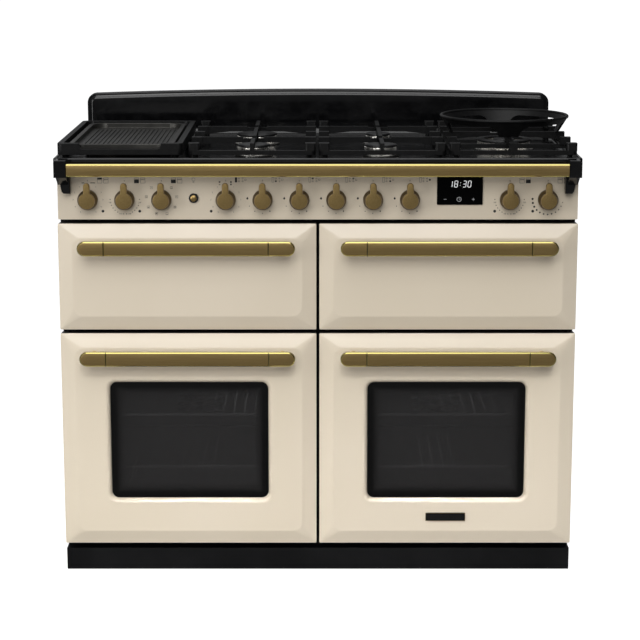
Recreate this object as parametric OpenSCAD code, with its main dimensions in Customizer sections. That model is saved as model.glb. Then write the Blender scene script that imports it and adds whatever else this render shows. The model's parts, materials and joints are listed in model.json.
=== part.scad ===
// Dual fuel range cooker, 1100 mm class: four ovens' doors, gas hob, electric griddle
// Millimetres. +Z is up, +X is right, +Y is to the back. The origin is on the floor,
// under the middle of the whole cooker, handles included.

/* [Case] */
// Width over the side panels and doors
case_w = 1082; // [1040:2:1120]
// Depth from the door faces to the back
case_d = 608; // [600:2:640]
// How far the door handles stand in front of the door faces
handle_reach = 50; // [44:1:60]
// Gap between the control fascia and the hob tray
hob_gap = 12; // [9:0.5:14]
// Thickness of the outer sheet panels
sheet = 2; // [1.5:0.1:2.4]
// Height of the plinth's top edge
plinth_h = 50; // [40:1:52]
// Set-back of the plinth behind the door faces
plinth_recess = 14; // [6:1:40]
// Set-back of the back panel from the rear edge of the side panels
back_recess = 30; // [28:1:40]

/* [Doors] */
// Gap between the left and right doors
door_gap_x = 6; // [4:0.5:10]
// Gap between rows of doors, and between doors and fascia
door_gap_z = 8; // [7:0.5:10]
// Height of the lower doors' bottom edge
lower_door_z = 66; // [64:1:72]
// Height of the lower doors
lower_door_h = 460; // [450:1:470]
// Height of the upper doors
upper_door_h = 225; // [218:1:235]
// Depth of the outer pressed skin
skin_d = 25; // [22:1:30]
// Thickness of the whole door without its raised field
door_t = 42; // [38:1:46]
// Sheet thickness of skin and liner
door_sheet = 1.6; // [1.2:0.1:2]
// Inset of the raised field from the door edge
field_inset = 29; // [24:1:36]
// How far the raised field stands out
field_rise = 10; // [6:0.5:12]
// Width of the sloping edge round the raised field
field_bevel = 9; // [5:0.5:12]
// Corner radius of the raised field
field_r = 20; // [14:1:26]
// Distance from the oven doors' side edges to their windows
window_in = 102; // [94:1:119]
// Height of the oven door windows
window_h = 254; // [220:2:262]
// Height of the window's bottom edge above the door's bottom edge
window_z = 101; // [95:1:112]
// Corner radius of the window
window_r = 15; // [10:1:20]
// Width of the sloping lip round the window
window_lip = 7; // [4:0.5:9]
// Thickness of the window glass
glass_t = 4; // [3:0.5:5]

/* [Door handles] */
// Distance from a door's side edge to the end of its handle
handle_in = 44; // [34:1:69]
// Height of a handle bar
handle_h = 27; // [22:1:30]
// Depth of a handle bar
handle_t = 14; // [12:0.5:18]
// Length of the end pieces
handle_end = 55; // [45:1:70]
// Diameter of the handle posts
post_d = 16; // [12:1:20]
// Distance from the top edge of a door down to its handle's middle
handle_drop = 47.5; // [44:0.5:60]

/* [Handrail] */
// Height of the handrail bar
rail_h = 25; // [20:1:26]
// Depth of the handrail bar
rail_t = 16; // [14:1:20]
// How far the handrail's front is ahead of the door faces
rail_reach = 44; // [40:1:48]
// Top of the handrail below the hob lip
rail_drop = 10; // [8:1:12]
// Width of the end brackets
bracket_w = 26; // [22:1:30]
// Height of the end brackets
bracket_h = 73; // [66:1:80]

/* [Controls] */
// Height of the control fascia
fascia_h = 98; // [94:1:99]
// Set-back of the fascia behind the door faces
fascia_set = 5; // [3:0.5:8]
// Distance from the sides to the middle group of six knobs
knob_group_in = 350; // [341:1:356]
// Diameter of a knob's skirt
knob_d = 41.5; // [38:0.5:46]
// Diameter of a knob's flat face
knob_face_d = 33.5; // [30:0.5:36]
// How far a knob stands out from the fascia
knob_reach = 30; // [26:1:34]
// Width of a knob's pointer
pointer_w = 13.6; // [11:0.2:16]
// Reach of the pointer above the knob's axis
pointer_r = 36.6; // [32:0.2:39]
// Diameter of a spindle
spindle_d = 8; // [6:0.5:10]
// Diameter of the lamp button
button_d = 12.8; // [10:0.2:15]
// Travel of the lamp button
button_travel = 3; // [2:0.5:4]
// Width of the clock display
clock_w = 95; // [88:1:100]

/* [Ovens] */
// Distance from a door's side edge to the inside of the upper ovens
upper_cav_in = 49; // [44:1:59]
// Height inside the upper ovens
upper_cav_h = 160; // [150:1:166]
// Distance from a door's side edge to the inside of the lower ovens
lower_cav_in = 59; // [49:1:69]
// Height inside the lower ovens
lower_cav_h = 376; // [360:2:384]
// Depth inside the ovens
cav_d = 420; // [400:2:430]
// Thickness of the oven liners
cav_sheet = 2; // [1.2:0.1:2.4]
// Diameter of the oven fans
fan_d = 150; // [140:2:160]
// Diameter of the ring elements
ring_d = 184; // [178:2:192]
// Thickness of the shelf wires
wire = 5; // [4:0.5:6]

/* [Hob] */
// Overhang of the hob tray past the side panels
tray_over = 5; // [3:0.5:8]
// Overall height of the hob tray's rim
tray_h = 20; // [16:1:22]
// Depth of the tray's well below its lip
tray_well = 12; // [9:0.5:13]
// Height of the cooking surface above the hob lip
support_rise = 27; // [24:1:32]
// Thickness of the pan supports' base bars
support_bar = 9; // [8:0.5:11]
// Width of the pan supports' fingers
finger_w = 8.5; // [7:0.5:10]
// Size of the corner lugs
lug_w = 22; // [18:1:26]
// Width of the griddle's frame
griddle_w = 260; // [240:2:262]
// Distance of the hob modules behind the door faces
hob_front = 18; // [14:1:26]
// Depth of the hob modules
module_d = 466; // [460:2:500]
// Diameter of the wok ring's rim
wok_ring_d = 280; // [260:2:280]
// Height of the wok ring
wok_ring_h = 38; // [34:1:46]

/* [Splashback] */
// Height of the splashback above the hob lip
splash_h = 90; // [80:1:110]
// Rise of the splashback's arched top edge
splash_arch = 9; // [5:0.5:14]
// Corner radius of the splashback
splash_r = 22; // [16:1:30]

/* [Fits] */
// Gap between pieces that move past each other
seat_gap = 0.3; // [0.25:0.05:0.35]
// Radial running clearance of spindles and pins
run_gap = 0.05; // [0.03:0.01:0.08]
// Diameter of the door hinge pins
hinge_pin_d = 7; // [5:0.5:7]

/* [Hidden] */
$fn = 64;
hull_fn = 32;

front_y = -(case_d + handle_reach) / 2 + handle_reach;
back_y = front_y + case_d;
half_w = case_w / 2;

door_w = (case_w - door_gap_x) / 2;
door_mid = door_gap_x / 2 + door_w / 2;
upper_door_z = lower_door_z + lower_door_h + door_gap_z;
fascia_z = upper_door_z + upper_door_h + door_gap_z;
field_face_y = front_y - field_rise;
window_w = door_w - 2 * window_in;
handle_l = door_w - 2 * handle_in;

seal_t = 8;
frame_y = front_y + door_t + seal_t;
cav_y = frame_y + sheet;
cav_back_y = cav_y + cav_d;
inner_back_y = back_y - back_recess - sheet;
base_z = plinth_h;
tray_z = fascia_z + fascia_h + hob_gap;
hob_h = tray_z + tray_h;
deck_z = hob_h - tray_well;
panel_top = tray_z;
shelf_z = fascia_z - door_gap_z / 2;
outer_half = half_w - sheet;

upper_cav_w = door_w - 2 * upper_cav_in;
lower_cav_w = door_w - 2 * lower_cav_in;
upper_cav_z = upper_door_z + (upper_door_h - upper_cav_h) / 2;
lower_cav_z = lower_door_z + (lower_door_h - lower_cav_h) / 2;
cav_flange = 12;
wall_clear = 0.2;

black_enamel = [0.07, 0.07, 0.08];
cast_black = [0.13, 0.13, 0.13];
cream_enamel = [0.89, 0.84, 0.74];
brass = [0.60, 0.48, 0.24];
dark_steel = [0.25, 0.25, 0.26];
bright_steel = [0.75, 0.75, 0.76];
smoked_glass = [0.16, 0.16, 0.17];

knob_z = fascia_z + 42;
knob_pitch = (case_w - 2 * knob_group_in) / 5;
fascia_y = front_y + fascia_set;
spindle_in = 30;
valve_front = 9;
valve_d = 46;
button_z = knob_z + 3;
collar_d = 20;
collar_out = 3;

// A rectangle with rounded corners, from its lower left corner
module round_rect(w, h, r) {
    if (r > 0) {
        translate([r, 0]) square([w - 2 * r, h]);
        translate([0, r]) square([w, h - 2 * r]);
        for (x = [r, w - r], y = [r, h - r])
            translate([x, y]) circle(r);
    } else {
        square([w, h]);
    }
}

// A panel that faces the front: x, z are its lower left corner, y its front face
module panel(x, z, w, h, y, t, r = 0) {
    translate([x, y + t, z])
        rotate([90, 0, 0])
            linear_extrude(t) round_rect(w, h, r);
}

// A plate that lies flat: x, y are its front left corner, z its underside
module plate(x, y, w, d, z, t, r = 0) {
    translate([x, y, z]) linear_extrude(t) round_rect(w, d, r);
}

// A block from its low corner to its high corner
module block(low, high) {
    translate(low) cube(high - low);
}

// A round bar along Y, from y to y + l
module bar_y(x, z, y, l, d) {
    translate([x, y, z]) rotate([-90, 0, 0]) cylinder(h = l, d = d);
}

// A round bar along X, from x to x + l
module bar_x(x, y, z, l, d) {
    translate([x, y, z]) rotate([0, 90, 0]) cylinder(h = l, d = d);
}

// The left and right copies of whatever stands at positive X
module both_sides() {
    children();
    mirror([1, 0, 0]) children();
}

// Chassis: bottom pan, front frame, shelf over the ovens, rear posts, feet nuts, door hinges

chassis_post = 20;
foot_inset = 60;
foot_stem_d = 12;
nut_d = 26;
nut_h = 14;
feet_at = [
    for (x = [-half_w + foot_inset, half_w - foot_inset],
         y = [frame_y + foot_inset, inner_back_y - foot_inset]) [x, y]
];

// Side-hung lower doors turn on upright pins near their outer edges
side_pin_x = half_w - 18;
pin_clear = 0.4;
side_pin_y = front_y + skin_d - door_sheet - pin_clear - hinge_pin_d / 2;
side_bracket_t = 3;
side_bracket_w = 22;
side_pin_in = 26;
// Drop-down upper doors turn on level pins close to their bottom edges
drop_pin_y = front_y + 9;
drop_pin_z = upper_door_z + 6;
drop_arm_in = 19;
drop_arm_x = door_w / 2 - drop_arm_in;
drop_arm_t = 4;
drop_arm_r = 5;
drop_pin_d = hinge_pin_d - 2;
ear_w = 6;
slot_clear = 0.5;

module hinge_bracket(z, pin_dir) {
    block([side_pin_x - side_bracket_w / 2, side_pin_y - hinge_pin_d / 2, z],
          [side_pin_x + side_bracket_w / 2 - 1, frame_y + sheet / 2, z + side_bracket_t]);
    low = pin_dir > 0 ? z : z - side_pin_in - door_gap_z / 2 + side_bracket_t / 2;
    translate([side_pin_x, side_pin_y, low])
        cylinder(h = side_pin_in + door_gap_z / 2 + side_bracket_t / 2, d = hinge_pin_d);
}

module drop_arm(x) {
    block([x - drop_arm_t / 2, drop_pin_y, drop_pin_z - drop_arm_r],
          [x + drop_arm_t / 2, frame_y + sheet / 2, drop_pin_z + drop_arm_r]);
    bar_x(x - drop_arm_t / 2, drop_pin_y, drop_pin_z, drop_arm_t, 2 * drop_arm_r);
    bar_x(x - drop_arm_t / 2 - slot_clear - ear_w, drop_pin_y, drop_pin_z,
          drop_arm_t + 2 * (slot_clear + ear_w), drop_pin_d);
}

module oven_openings(y, t, grow = 0) {
    both_sides() {
        panel(door_mid - upper_cav_w / 2 - grow, upper_cav_z - grow,
              upper_cav_w + 2 * grow, upper_cav_h + 2 * grow, y, t);
        panel(door_mid - lower_cav_w / 2 - grow, lower_cav_z - grow,
              lower_cav_w + 2 * grow, lower_cav_h + 2 * grow, y, t);
    }
}

module chassis() {
    color(dark_steel)
    difference() {
        union() {
            plate(-outer_half, frame_y, 2 * outer_half, inner_back_y - frame_y, base_z, sheet);
            plate(-outer_half, frame_y, 2 * outer_half, inner_back_y - frame_y, shelf_z, sheet);
            panel(-outer_half, base_z, 2 * outer_half, panel_top - base_z, frame_y, sheet);
            both_sides() {
                block([outer_half - chassis_post, inner_back_y - chassis_post, base_z],
                      [outer_half, inner_back_y, panel_top]);
                hinge_bracket(lower_door_z - door_gap_z / 2 - side_bracket_t / 2, 1);
                hinge_bracket(lower_door_z + lower_door_h + door_gap_z / 2 - side_bracket_t / 2, -1);
                drop_arm(door_mid - drop_arm_x);
                drop_arm(door_mid + drop_arm_x);
            }
            for (p = feet_at)
                translate([p[0], p[1], base_z]) cylinder(h = sheet + nut_h, d = nut_d);
        }
        oven_openings(frame_y - 1, sheet + 2);
        panel(-outer_half + chassis_post, shelf_z + 8,
              2 * (outer_half - chassis_post), panel_top - shelf_z - 18, frame_y - 1, sheet + 2);
        for (p = feet_at)
            translate([p[0], p[1], base_z - 1])
                cylinder(h = nut_h + sheet + 2, d = foot_stem_d + 2 * run_gap);
    }
}

module side_panels() {
    color(black_enamel)
    both_sides()
        block([outer_half, frame_y, base_z], [half_w, back_y, panel_top]);
}

// Back panel with the anti-tip bolt holes, and the terminal cover with its cable gland
gland_d = 20;
gland_wall = 4;
gland_y = 14;
terminal_w = 120;
terminal_h = 70;
terminal_in = 111;
terminal_x = -half_w + terminal_in;
terminal_z = 190;
terminal_wall = 3;
terminal_front = inner_back_y + sheet + wall_clear;
terminal_back = back_y - 2;
tip_bolt_d = 5;
tip_bolt_gap = 60;
tip_bolt_z = 110;
inlet_x = 3 * knob_pitch;
inlet_z = knob_z - 22;
inlet_d = 21;
inlet_out = 22;
inlet_neck_d = 18;
pipe_hole = inlet_neck_d + 1;

module back_panel() {
    color(dark_steel) {
        difference() {
            panel(-outer_half, base_z, 2 * outer_half, panel_top - base_z, inner_back_y, sheet);
            bar_y(inlet_x, inlet_z, inner_back_y - 1, sheet + 2, pipe_hole);
            for (x = [-tip_bolt_gap / 2, tip_bolt_gap / 2])
                bar_y(x, tip_bolt_z, inner_back_y - 1, sheet + 2, tip_bolt_d);
        }
        difference() {
            block([terminal_x, terminal_front, terminal_z],
                  [terminal_x + terminal_w, terminal_back, terminal_z + terminal_h]);
            block([terminal_x + terminal_wall, terminal_front - 1, terminal_z + gland_wall],
                  [terminal_x + terminal_w - terminal_wall, terminal_back - terminal_wall,
                   terminal_z + terminal_h - terminal_wall]);
            translate([terminal_x + terminal_w / 2, inner_back_y + sheet + gland_y, terminal_z - 1])
                cylinder(h = gland_wall + 2, d = gland_d);
        }
    }
}

plinth_low = 3;
module plinth() {
    color(black_enamel)
    difference() {
        block([-half_w, front_y + plinth_recess, plinth_low], [half_w, inner_back_y, plinth_h]);
        block([-outer_half, front_y + plinth_recess + sheet, plinth_low - 1],
              [outer_half, inner_back_y + 1, plinth_h - sheet]);
        block([-outer_half + 30, front_y + plinth_recess + 45, plinth_low],
              [outer_half - 30, inner_back_y + 1, plinth_h + 1]);
    }
}

foot_d = 46;
foot_h = 10;
module levelling_feet() {
    color(dark_steel)
    for (p = feet_at)
        translate([p[0], p[1], 0]) {
            cylinder(h = foot_h, d = foot_d);
            cylinder(h = base_z + nut_h, d = foot_stem_d);
        }
}

// Splashback: a folded sheet with an arched top, open at the back
splash_t = 30;
splash_wall = 2.5;
module splashback() {
    color(black_enamel)
    difference() {
        translate([0, back_y, 0]) rotate([90, 0, 0]) linear_extrude(splash_t) splash_body(0);
        translate([0, back_y + 1, 0]) rotate([90, 0, 0])
            linear_extrude(splash_t - splash_wall + 1)
                difference() {
                    splash_body(splash_wall);
                    translate([-half_w, tray_z]) square([case_w, splash_wall]);
                }
    }
}

module splash_body(shrink) {
    w = case_w - 2 * shrink;
    h = hob_h + splash_h - tray_z - shrink;
    r = splash_r - shrink;
    half = w / 2 - r;
    arch_r = (half * half + splash_arch * splash_arch) / (2 * splash_arch);
    translate([-w / 2, tray_z]) square([w, h - splash_arch - r]);
    translate([-half, tray_z]) square([2 * half, h - splash_arch]);
    for (side = [-1, 1])
        translate([side * half, tray_z + h - splash_arch - r]) circle(r);
    intersection() {
        translate([-half, tray_z + h - splash_arch - 1]) square([2 * half, splash_arch + 1]);
        translate([0, tray_z + h - arch_r]) circle(arch_r, $fn = 720);
    }
}

// Hob tray: a shallow well with a rolled rim, pierced under each gas burner
tray_lead = 10;
tray_lip = 6;
support_end = 3;
support_gaps = [6.5, 8];
griddle_gap = 12;
hob_gaps = 30;
support_w = (case_w - griddle_w - hob_gaps) / 3;
right_mid = half_w - support_end - support_w / 2;
centre_mid = right_mid - support_w - support_gaps[1];
left_mid = centre_mid - support_w - support_gaps[0];
module_mid_y = front_y + hob_front + module_d / 2;
burner_step = 108;
burner_cup_d = 40;
burner_cup_z = deck_z - 17;
large_crown_d = 95;
middle_crown_d = 75;
small_crown_d = 60;
// Each burner: x, y, crown diameter
small_burners = [
    [left_mid, module_mid_y - burner_step, middle_crown_d],
    [left_mid, module_mid_y + burner_step, large_crown_d],
    [centre_mid, module_mid_y - burner_step, middle_crown_d],
    [centre_mid, module_mid_y + burner_step, small_crown_d]
];
wok_at = [right_mid, module_mid_y];
burner_axes = concat([for (b = small_burners) [b[0], b[1]]], [wok_at]);

module hob_tray() {
    half = half_w + tray_over;
    y0 = front_y - tray_lead;
    d = back_y - splash_t - y0;
    color(black_enamel)
    difference() {
        plate(-half, y0, 2 * half, d, tray_z, tray_h, 5);
        plate(-half + tray_lip, y0 + tray_lip, 2 * (half - tray_lip), d - 2 * tray_lip,
              deck_z, tray_well + 1, 4);
        plate(-half + sheet, y0 + sheet, 2 * (half - sheet), d - 2 * sheet,
              tray_z - 1, tray_h - tray_well - sheet + 1, 3);
        for (p = burner_axes)
            translate([p[0], p[1], tray_z - 1]) cylinder(h = tray_h, d = burner_cup_d + 1);
    }
}

// Handrail along the front and the brackets that carry its ends
rail_z = hob_h - rail_drop - rail_h;
rail_y = front_y - rail_reach;
rail_joint = 0.3;
rail_edge = 3;
module handrail() {
    half = half_w - bracket_w - rail_joint;
    e = rail_edge;
    color(brass)
    translate([-half, rail_y, rail_z])
        rotate([90, 0, 90])
            linear_extrude(2 * half)
                polygon([[e, 0], [rail_t, 0], [rail_t, rail_h], [e, rail_h], [0, rail_h - e], [0, e]]);
}

module handrail_brackets() {
    top = hob_h - 1;
    slope = 12;
    corner = 4;
    color(black_enamel)
    both_sides()
        difference() {
            translate([0, fascia_y, 0])
                rotate([90, 0, 0])
                    linear_extrude(fascia_y - rail_y)
                        polygon([[half_w - bracket_w, top - bracket_h], [half_w - slope, top - bracket_h],
                                 [half_w, top - bracket_h + slope], [half_w, top - corner],
                                 [half_w - corner, top], [half_w - bracket_w, top]]);
            block([half_w - bracket_w - 1, front_y - tray_lead - seat_gap, tray_z - seat_gap],
                  [half_w + 1, fascia_y + 1, top + 1]);
        }
}

// Doors, drawn on the right; the left ones are their mirror image
door_x = door_gap_x / 2;
flange_w = 10;
liner_clear = 4;
window_d = 12;
thin = 0.01;

module on_side(side) {
    if (side < 0) mirror([1, 0, 0]) children();
    else children();
}

// A block whose front outline is smaller or larger than its back one, with sloping edges
module tapered(x, z, w, h, r, y_a, inset_a, y_b, inset_b) {
    hull() {
        panel(x + inset_a, z + inset_a, w - 2 * inset_a, h - 2 * inset_a, y_a, thin, r, $fn = hull_fn);
        panel(x + inset_b, z + inset_b, w - 2 * inset_b, h - 2 * inset_b, y_b, thin, r, $fn = hull_fn);
    }
}

module raised_field(z, h, back) {
    tapered(door_x, z, door_w, h, field_r, front_y + back + thin, field_inset + back / 2,
            field_face_y + back, field_inset + field_bevel + back / 2);
}

module window_cone(z, grow) {
    tapered(door_mid - window_w / 2, z + window_z, window_w, window_h, window_r,
            field_face_y - (grow > 0 ? 0 : thin), -window_lip - grow,
            field_face_y + window_d, -grow);
}

module drop_slots(z) {
    for (x = [door_mid - drop_arm_x, door_mid + drop_arm_x])
        block([x - drop_arm_t / 2 - slot_clear, drop_pin_y - drop_arm_r - slot_clear, z - 1],
              [x + drop_arm_t / 2 + slot_clear, front_y + door_t + 1,
               drop_pin_z + drop_arm_r + slot_clear]);
}

module door_panel(z, h, window) {
    color(cream_enamel)
    difference() {
        union() {
            panel(door_x, z, door_w, h, front_y, skin_d, 2);
            raised_field(z, h, 0);
        }
        difference() {
            union() {
                panel(door_x + door_sheet, z + door_sheet, door_w - 2 * door_sheet, h - 2 * door_sheet,
                      front_y + door_sheet, skin_d - 2 * door_sheet);
                panel(door_x + flange_w, z + flange_w, door_w - 2 * flange_w, h - 2 * flange_w,
                      front_y + door_sheet, skin_d);
                raised_field(z, h, door_sheet);
            }
            if (window) window_cone(z, door_sheet);
        }
        if (window) {
            window_cone(z, 0);
            panel(door_mid - window_w / 2, z + window_z, window_w, window_h,
                  field_face_y + 1, skin_d, window_r);
            for (end_z = [z - 1, z + h - door_sheet - 1])
                translate([side_pin_x, side_pin_y, end_z])
                    cylinder(h = door_sheet + 2, d = hinge_pin_d + 2);
        } else {
            drop_slots(z);
        }
    }
}

knuckle_h = 18;
knuckle_in = 10;
knuckle_front = 8;
module side_knuckle(z) {
    block([side_pin_x - knuckle_in, side_pin_y - knuckle_front, z],
          [half_w - flange_w - seat_gap, front_y + door_t - 1, z + knuckle_h]);
}

ear_h = 20;
ear_front = 6;
ear_neck = 4;
module drop_ear(x) {
    low = upper_door_z + door_sheet + seat_gap;
    block([x, drop_pin_y - ear_front, low],
          [x + ear_w, front_y + skin_d - door_sheet - seat_gap, low + ear_h]);
    block([x, drop_pin_y + ear_neck, upper_door_z + flange_w + seat_gap],
          [x + ear_w, front_y + door_t - 1, low + ear_h]);
}

module door_liner(z, h, window) {
    c = liner_clear;
    low_knuckle = z + flange_w + seat_gap;
    high_knuckle = z + h - flange_w - seat_gap - knuckle_h;
    color(dark_steel)
    difference() {
        union() {
            difference() {
                panel(door_x + c, z + c, door_w - 2 * c, h - 2 * c, front_y + skin_d, door_t - skin_d, 3);
                panel(door_x + c + door_sheet, z + c + door_sheet,
                      door_w - 2 * (c + door_sheet), h - 2 * (c + door_sheet),
                      front_y + skin_d - 1, door_t - skin_d - door_sheet + 1, 2);
            }
            if (window) {
                side_knuckle(low_knuckle);
                side_knuckle(high_knuckle);
            } else {
                for (x = [door_mid - drop_arm_x, door_mid + drop_arm_x]) {
                    drop_ear(x + drop_arm_t / 2 + slot_clear);
                    drop_ear(x - drop_arm_t / 2 - slot_clear - ear_w);
                }
            }
        }
        if (window) {
            panel(door_mid - window_w / 2 + 5, z + window_z + 5, window_w - 10, window_h - 10,
                  front_y + skin_d, door_t, window_r);
            for (knuckle_z = [low_knuckle, high_knuckle])
                translate([side_pin_x, side_pin_y, knuckle_z - 1])
                    cylinder(h = knuckle_h + 2, d = hinge_pin_d + 2 * run_gap);
        } else {
            drop_slots(z);
            for (x = [door_mid - drop_arm_x, door_mid + drop_arm_x])
                bar_x(x - drop_arm_t / 2 - slot_clear - ear_w - 1, drop_pin_y, drop_pin_z,
                      drop_arm_t + 2 * (slot_clear + ear_w + 1), drop_pin_d + 2 * run_gap);
        }
    }
}

module door_glass(z) {
    edge = 10;
    color(smoked_glass) {
        panel(door_mid - window_w / 2 - edge, z + window_z - edge, window_w + 2 * edge, window_h + 2 * edge,
              field_face_y + window_d + thin, glass_t, window_r);
        panel(door_mid - window_w / 2 - edge, z + window_z - edge, window_w + 2 * edge, window_h + 2 * edge,
              front_y + door_t - door_sheet - glass_t, glass_t, window_r);
    }
}

module door_handle(top) {
    z = top - handle_drop;
    y = front_y - handle_reach;
    joint = 0.3;
    half = handle_l / 2;
    cap_r = handle_h / 2;
    color(brass) {
        panel(door_mid - half + handle_end + joint, z - cap_r, handle_l - 2 * (handle_end + joint),
              handle_h, y, handle_t);
        for (side = [-1, 1])
            translate([door_mid, 0, z]) on_side(side) {
                panel(half - handle_end, -cap_r, handle_end - cap_r, handle_h, y, handle_t);
                bar_y(half - cap_r, 0, y, handle_t, handle_h);
                bar_y(half - handle_end / 2, 0, y + handle_t / 2,
                      field_face_y - y - handle_t / 2, post_d);
            }
    }
}

lower_door_top = lower_door_z + lower_door_h;
upper_door_top = upper_door_z + upper_door_h;

module badge_plate() {
    w = 85;
    h = 18;
    t = 2;
    rise = 53;
    color(black_enamel)
    panel(door_mid - w / 2, lower_door_z + rise, w, h, field_face_y - t, t, 3);
}

// Control fascia: a pan with holes for the spindles, the lamp button and the clock
knob_end = 64;
knob_edge = half_w - knob_end;
right_pitch = 79;
electric_x = [-knob_edge, -knob_edge + knob_pitch, -knob_edge + 2 * knob_pitch, -2.5 * knob_pitch,
              knob_edge - right_pitch, knob_edge];
gas_x = [for (i = [-1.5, -0.5, 0.5, 1.5, 2.5]) i * knob_pitch];
button_x = (electric_x[2] + electric_x[3]) / 2;
clock_x = (gas_x[4] + electric_x[4]) / 2;
clock_z = fascia_z + 31;
clock_h = fascia_h - 33;
clock_d = 34;
clock_rim = 4;
button_hole = collar_d - 4;

module control_fascia() {
    w = case_w - 2;
    color(cream_enamel)
    difference() {
        panel(-w / 2, fascia_z, w, fascia_h, fascia_y, frame_y - fascia_y, 2);
        panel(-w / 2 + sheet, fascia_z + sheet, w - 2 * sheet, fascia_h - 2 * sheet,
              fascia_y + sheet, frame_y - fascia_y);
        for (x = concat(electric_x, gas_x))
            bar_y(x, knob_z, fascia_y - 1, sheet + 2, spindle_d + 4);
        bar_y(button_x, button_z, fascia_y - 1, sheet + 2, button_hole + 0.4);
        panel(clock_x - clock_w / 2 + clock_rim, clock_z + clock_rim,
              clock_w - 2 * clock_rim, clock_h - 2 * clock_rim, fascia_y - 1, sheet + 2);
    }
}

module clock_display() {
    color(black_enamel) {
        panel(clock_x - clock_w / 2, clock_z, clock_w, clock_h, fascia_y - 2, 2, 2);
        panel(clock_x - clock_w / 2 + clock_rim + wall_clear, clock_z + clock_rim + wall_clear,
              clock_w - 2 * (clock_rim + wall_clear), clock_h - 2 * (clock_rim + wall_clear),
              fascia_y - 1, clock_d);
    }
}

module spindle_bore(x) {
    bar_y(x, knob_z, fascia_y, spindle_in + 1, spindle_d + 2 * run_gap);
}

module switch_box(x) {
    s = 44;
    difference() {
        panel(x - s / 2, knob_z - s / 2, s, s, fascia_y + sheet, valve_d, 3);
        spindle_bore(x);
    }
}

button_in = 3;
stem_d = 6;
stem_in = 10;
stop_gap = 0.5;
switch_d = 28;
module oven_switches() {
    s = 30;
    color(dark_steel) {
        for (x = electric_x) switch_box(x);
        difference() {
            union() {
                bar_y(button_x, button_z, fascia_y - collar_out, collar_out, collar_d);
                bar_y(button_x, button_z, fascia_y - collar_out, collar_out + sheet + 1, button_hole);
                panel(button_x - s / 2, button_z - s / 2, s, s, fascia_y + sheet, switch_d);
            }
            bar_y(button_x, button_z, fascia_y - collar_out - 1,
                  collar_out + 1 + button_in + button_travel + stop_gap, button_d + wall_clear);
            bar_y(button_x, button_z, fascia_y,
                  button_in + stem_in + button_travel + stop_gap, stem_d + 2 * run_gap);
        }
    }
}

module light_button() {
    out = collar_out + 5;
    dome_r = 12;
    color(brass) {
        bar_y(button_x, button_z, fascia_y - out + 2, out - 2 + button_in, button_d);
        intersection() {
            translate([button_x, fascia_y - out + dome_r, button_z]) sphere(dome_r);
            bar_y(button_x, button_z, fascia_y - out - 1, 4, button_d);
        }
        bar_y(button_x, button_z, fascia_y, button_in + stem_in, stem_d);
    }
}

// Gas side: five valves on a rail, and a pipe from each valve to its burner
valve_w = 30;
valve_neck_d = 18;
rail_pipe_d = 14;
gas_pipe_d = 8;
pipe_z = knob_z + 6;
valve_back = fascia_y + valve_front + valve_d;

module gas_valves() {
    color(bright_steel)
    for (x = gas_x)
        difference() {
            union() {
                bar_y(x, knob_z, fascia_y + sheet, valve_front, valve_neck_d);
                panel(x - valve_w / 2, knob_z - valve_w / 2, valve_w, valve_w,
                      fascia_y + valve_front, valve_d, 4);
            }
            spindle_bore(x);
        }
}

module pipe_run(points, d) {
    for (i = [0 : len(points) - 2]) {
        a = points[i];
        b = points[i + 1];
        v = b - a;
        turn = v[0] != 0 ? [0, v[0] > 0 ? 90 : -90, 0] : v[1] != 0 ? [v[1] > 0 ? -90 : 90, 0, 0]
                                                                   : [v[2] > 0 ? 0 : 180, 0, 0];
        translate(a) rotate(turn) cylinder(h = norm(v), d = d);
        if (i > 0) translate(a) sphere(d = d);
    }
}

module gas_pipes() {
    rail_pipe_y = fascia_y + 32;
    rail_pipe_z = knob_z - valve_w / 2 - rail_pipe_d / 2 - wall_clear;
    // The valves feed the front left, rear left, rear centre, front centre and wok burners in turn
    feeds = [burner_axes[0], burner_axes[1], burner_axes[3], burner_axes[2], burner_axes[4]];
    color(bright_steel) {
        pipe_run([[gas_x[0] - 15, rail_pipe_y, rail_pipe_z], [inlet_x, rail_pipe_y, rail_pipe_z],
                  [inlet_x, rail_pipe_y + 20, rail_pipe_z], [inlet_x, rail_pipe_y + 20, inlet_z],
                  [inlet_x, inner_back_y - 20, inlet_z]], rail_pipe_d);
        bar_y(inlet_x, inlet_z, inner_back_y - 30, 30 + sheet + 1, inlet_neck_d);
        bar_y(inlet_x, inlet_z, inner_back_y + sheet, inlet_out, inlet_d);
        for (i = [0 : 4])
            pipe_run([[gas_x[i], valve_back + wall_clear, pipe_z], [gas_x[i], feeds[i][1], pipe_z],
                      [feeds[i][0], feeds[i][1], pipe_z],
                      [feeds[i][0], feeds[i][1], burner_cup_z - wall_clear]], gas_pipe_d);
    }
}

// Control knobs: a skirt, a sloping shoulder and a flat keyhole-shaped face, on a spindle
knob_face_t = 5;
knob_skirt = 13;
bore_in = 12;
module knob(x) {
    shoulder = knob_reach - seat_gap - knob_skirt - knob_face_t;
    color(brass) {
        difference() {
            union() {
                translate([x, fascia_y - seat_gap, knob_z])
                    rotate([90, 0, 0]) {
                        cylinder(h = knob_skirt, d = knob_d);
                        translate([0, 0, knob_skirt])
                            cylinder(h = shoulder, d1 = knob_d, d2 = knob_face_d);
                        translate([0, 0, knob_skirt + shoulder]) cylinder(h = knob_face_t, d = knob_face_d);
                    }
                panel(x - pointer_w / 2, knob_z, pointer_w, pointer_r - pointer_w / 2,
                      fascia_y - knob_reach, knob_face_t + 2);
                bar_y(x, knob_z + pointer_r - pointer_w / 2, fascia_y - knob_reach,
                      knob_face_t + 2, pointer_w);
            }
            bar_y(x, knob_z, fascia_y - seat_gap - bore_in, bore_in + 1, spindle_d + 2 * run_gap);
        }
        bar_y(x, knob_z, fascia_y - bore_in, bore_in + spindle_in, spindle_d);
    }
}

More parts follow.
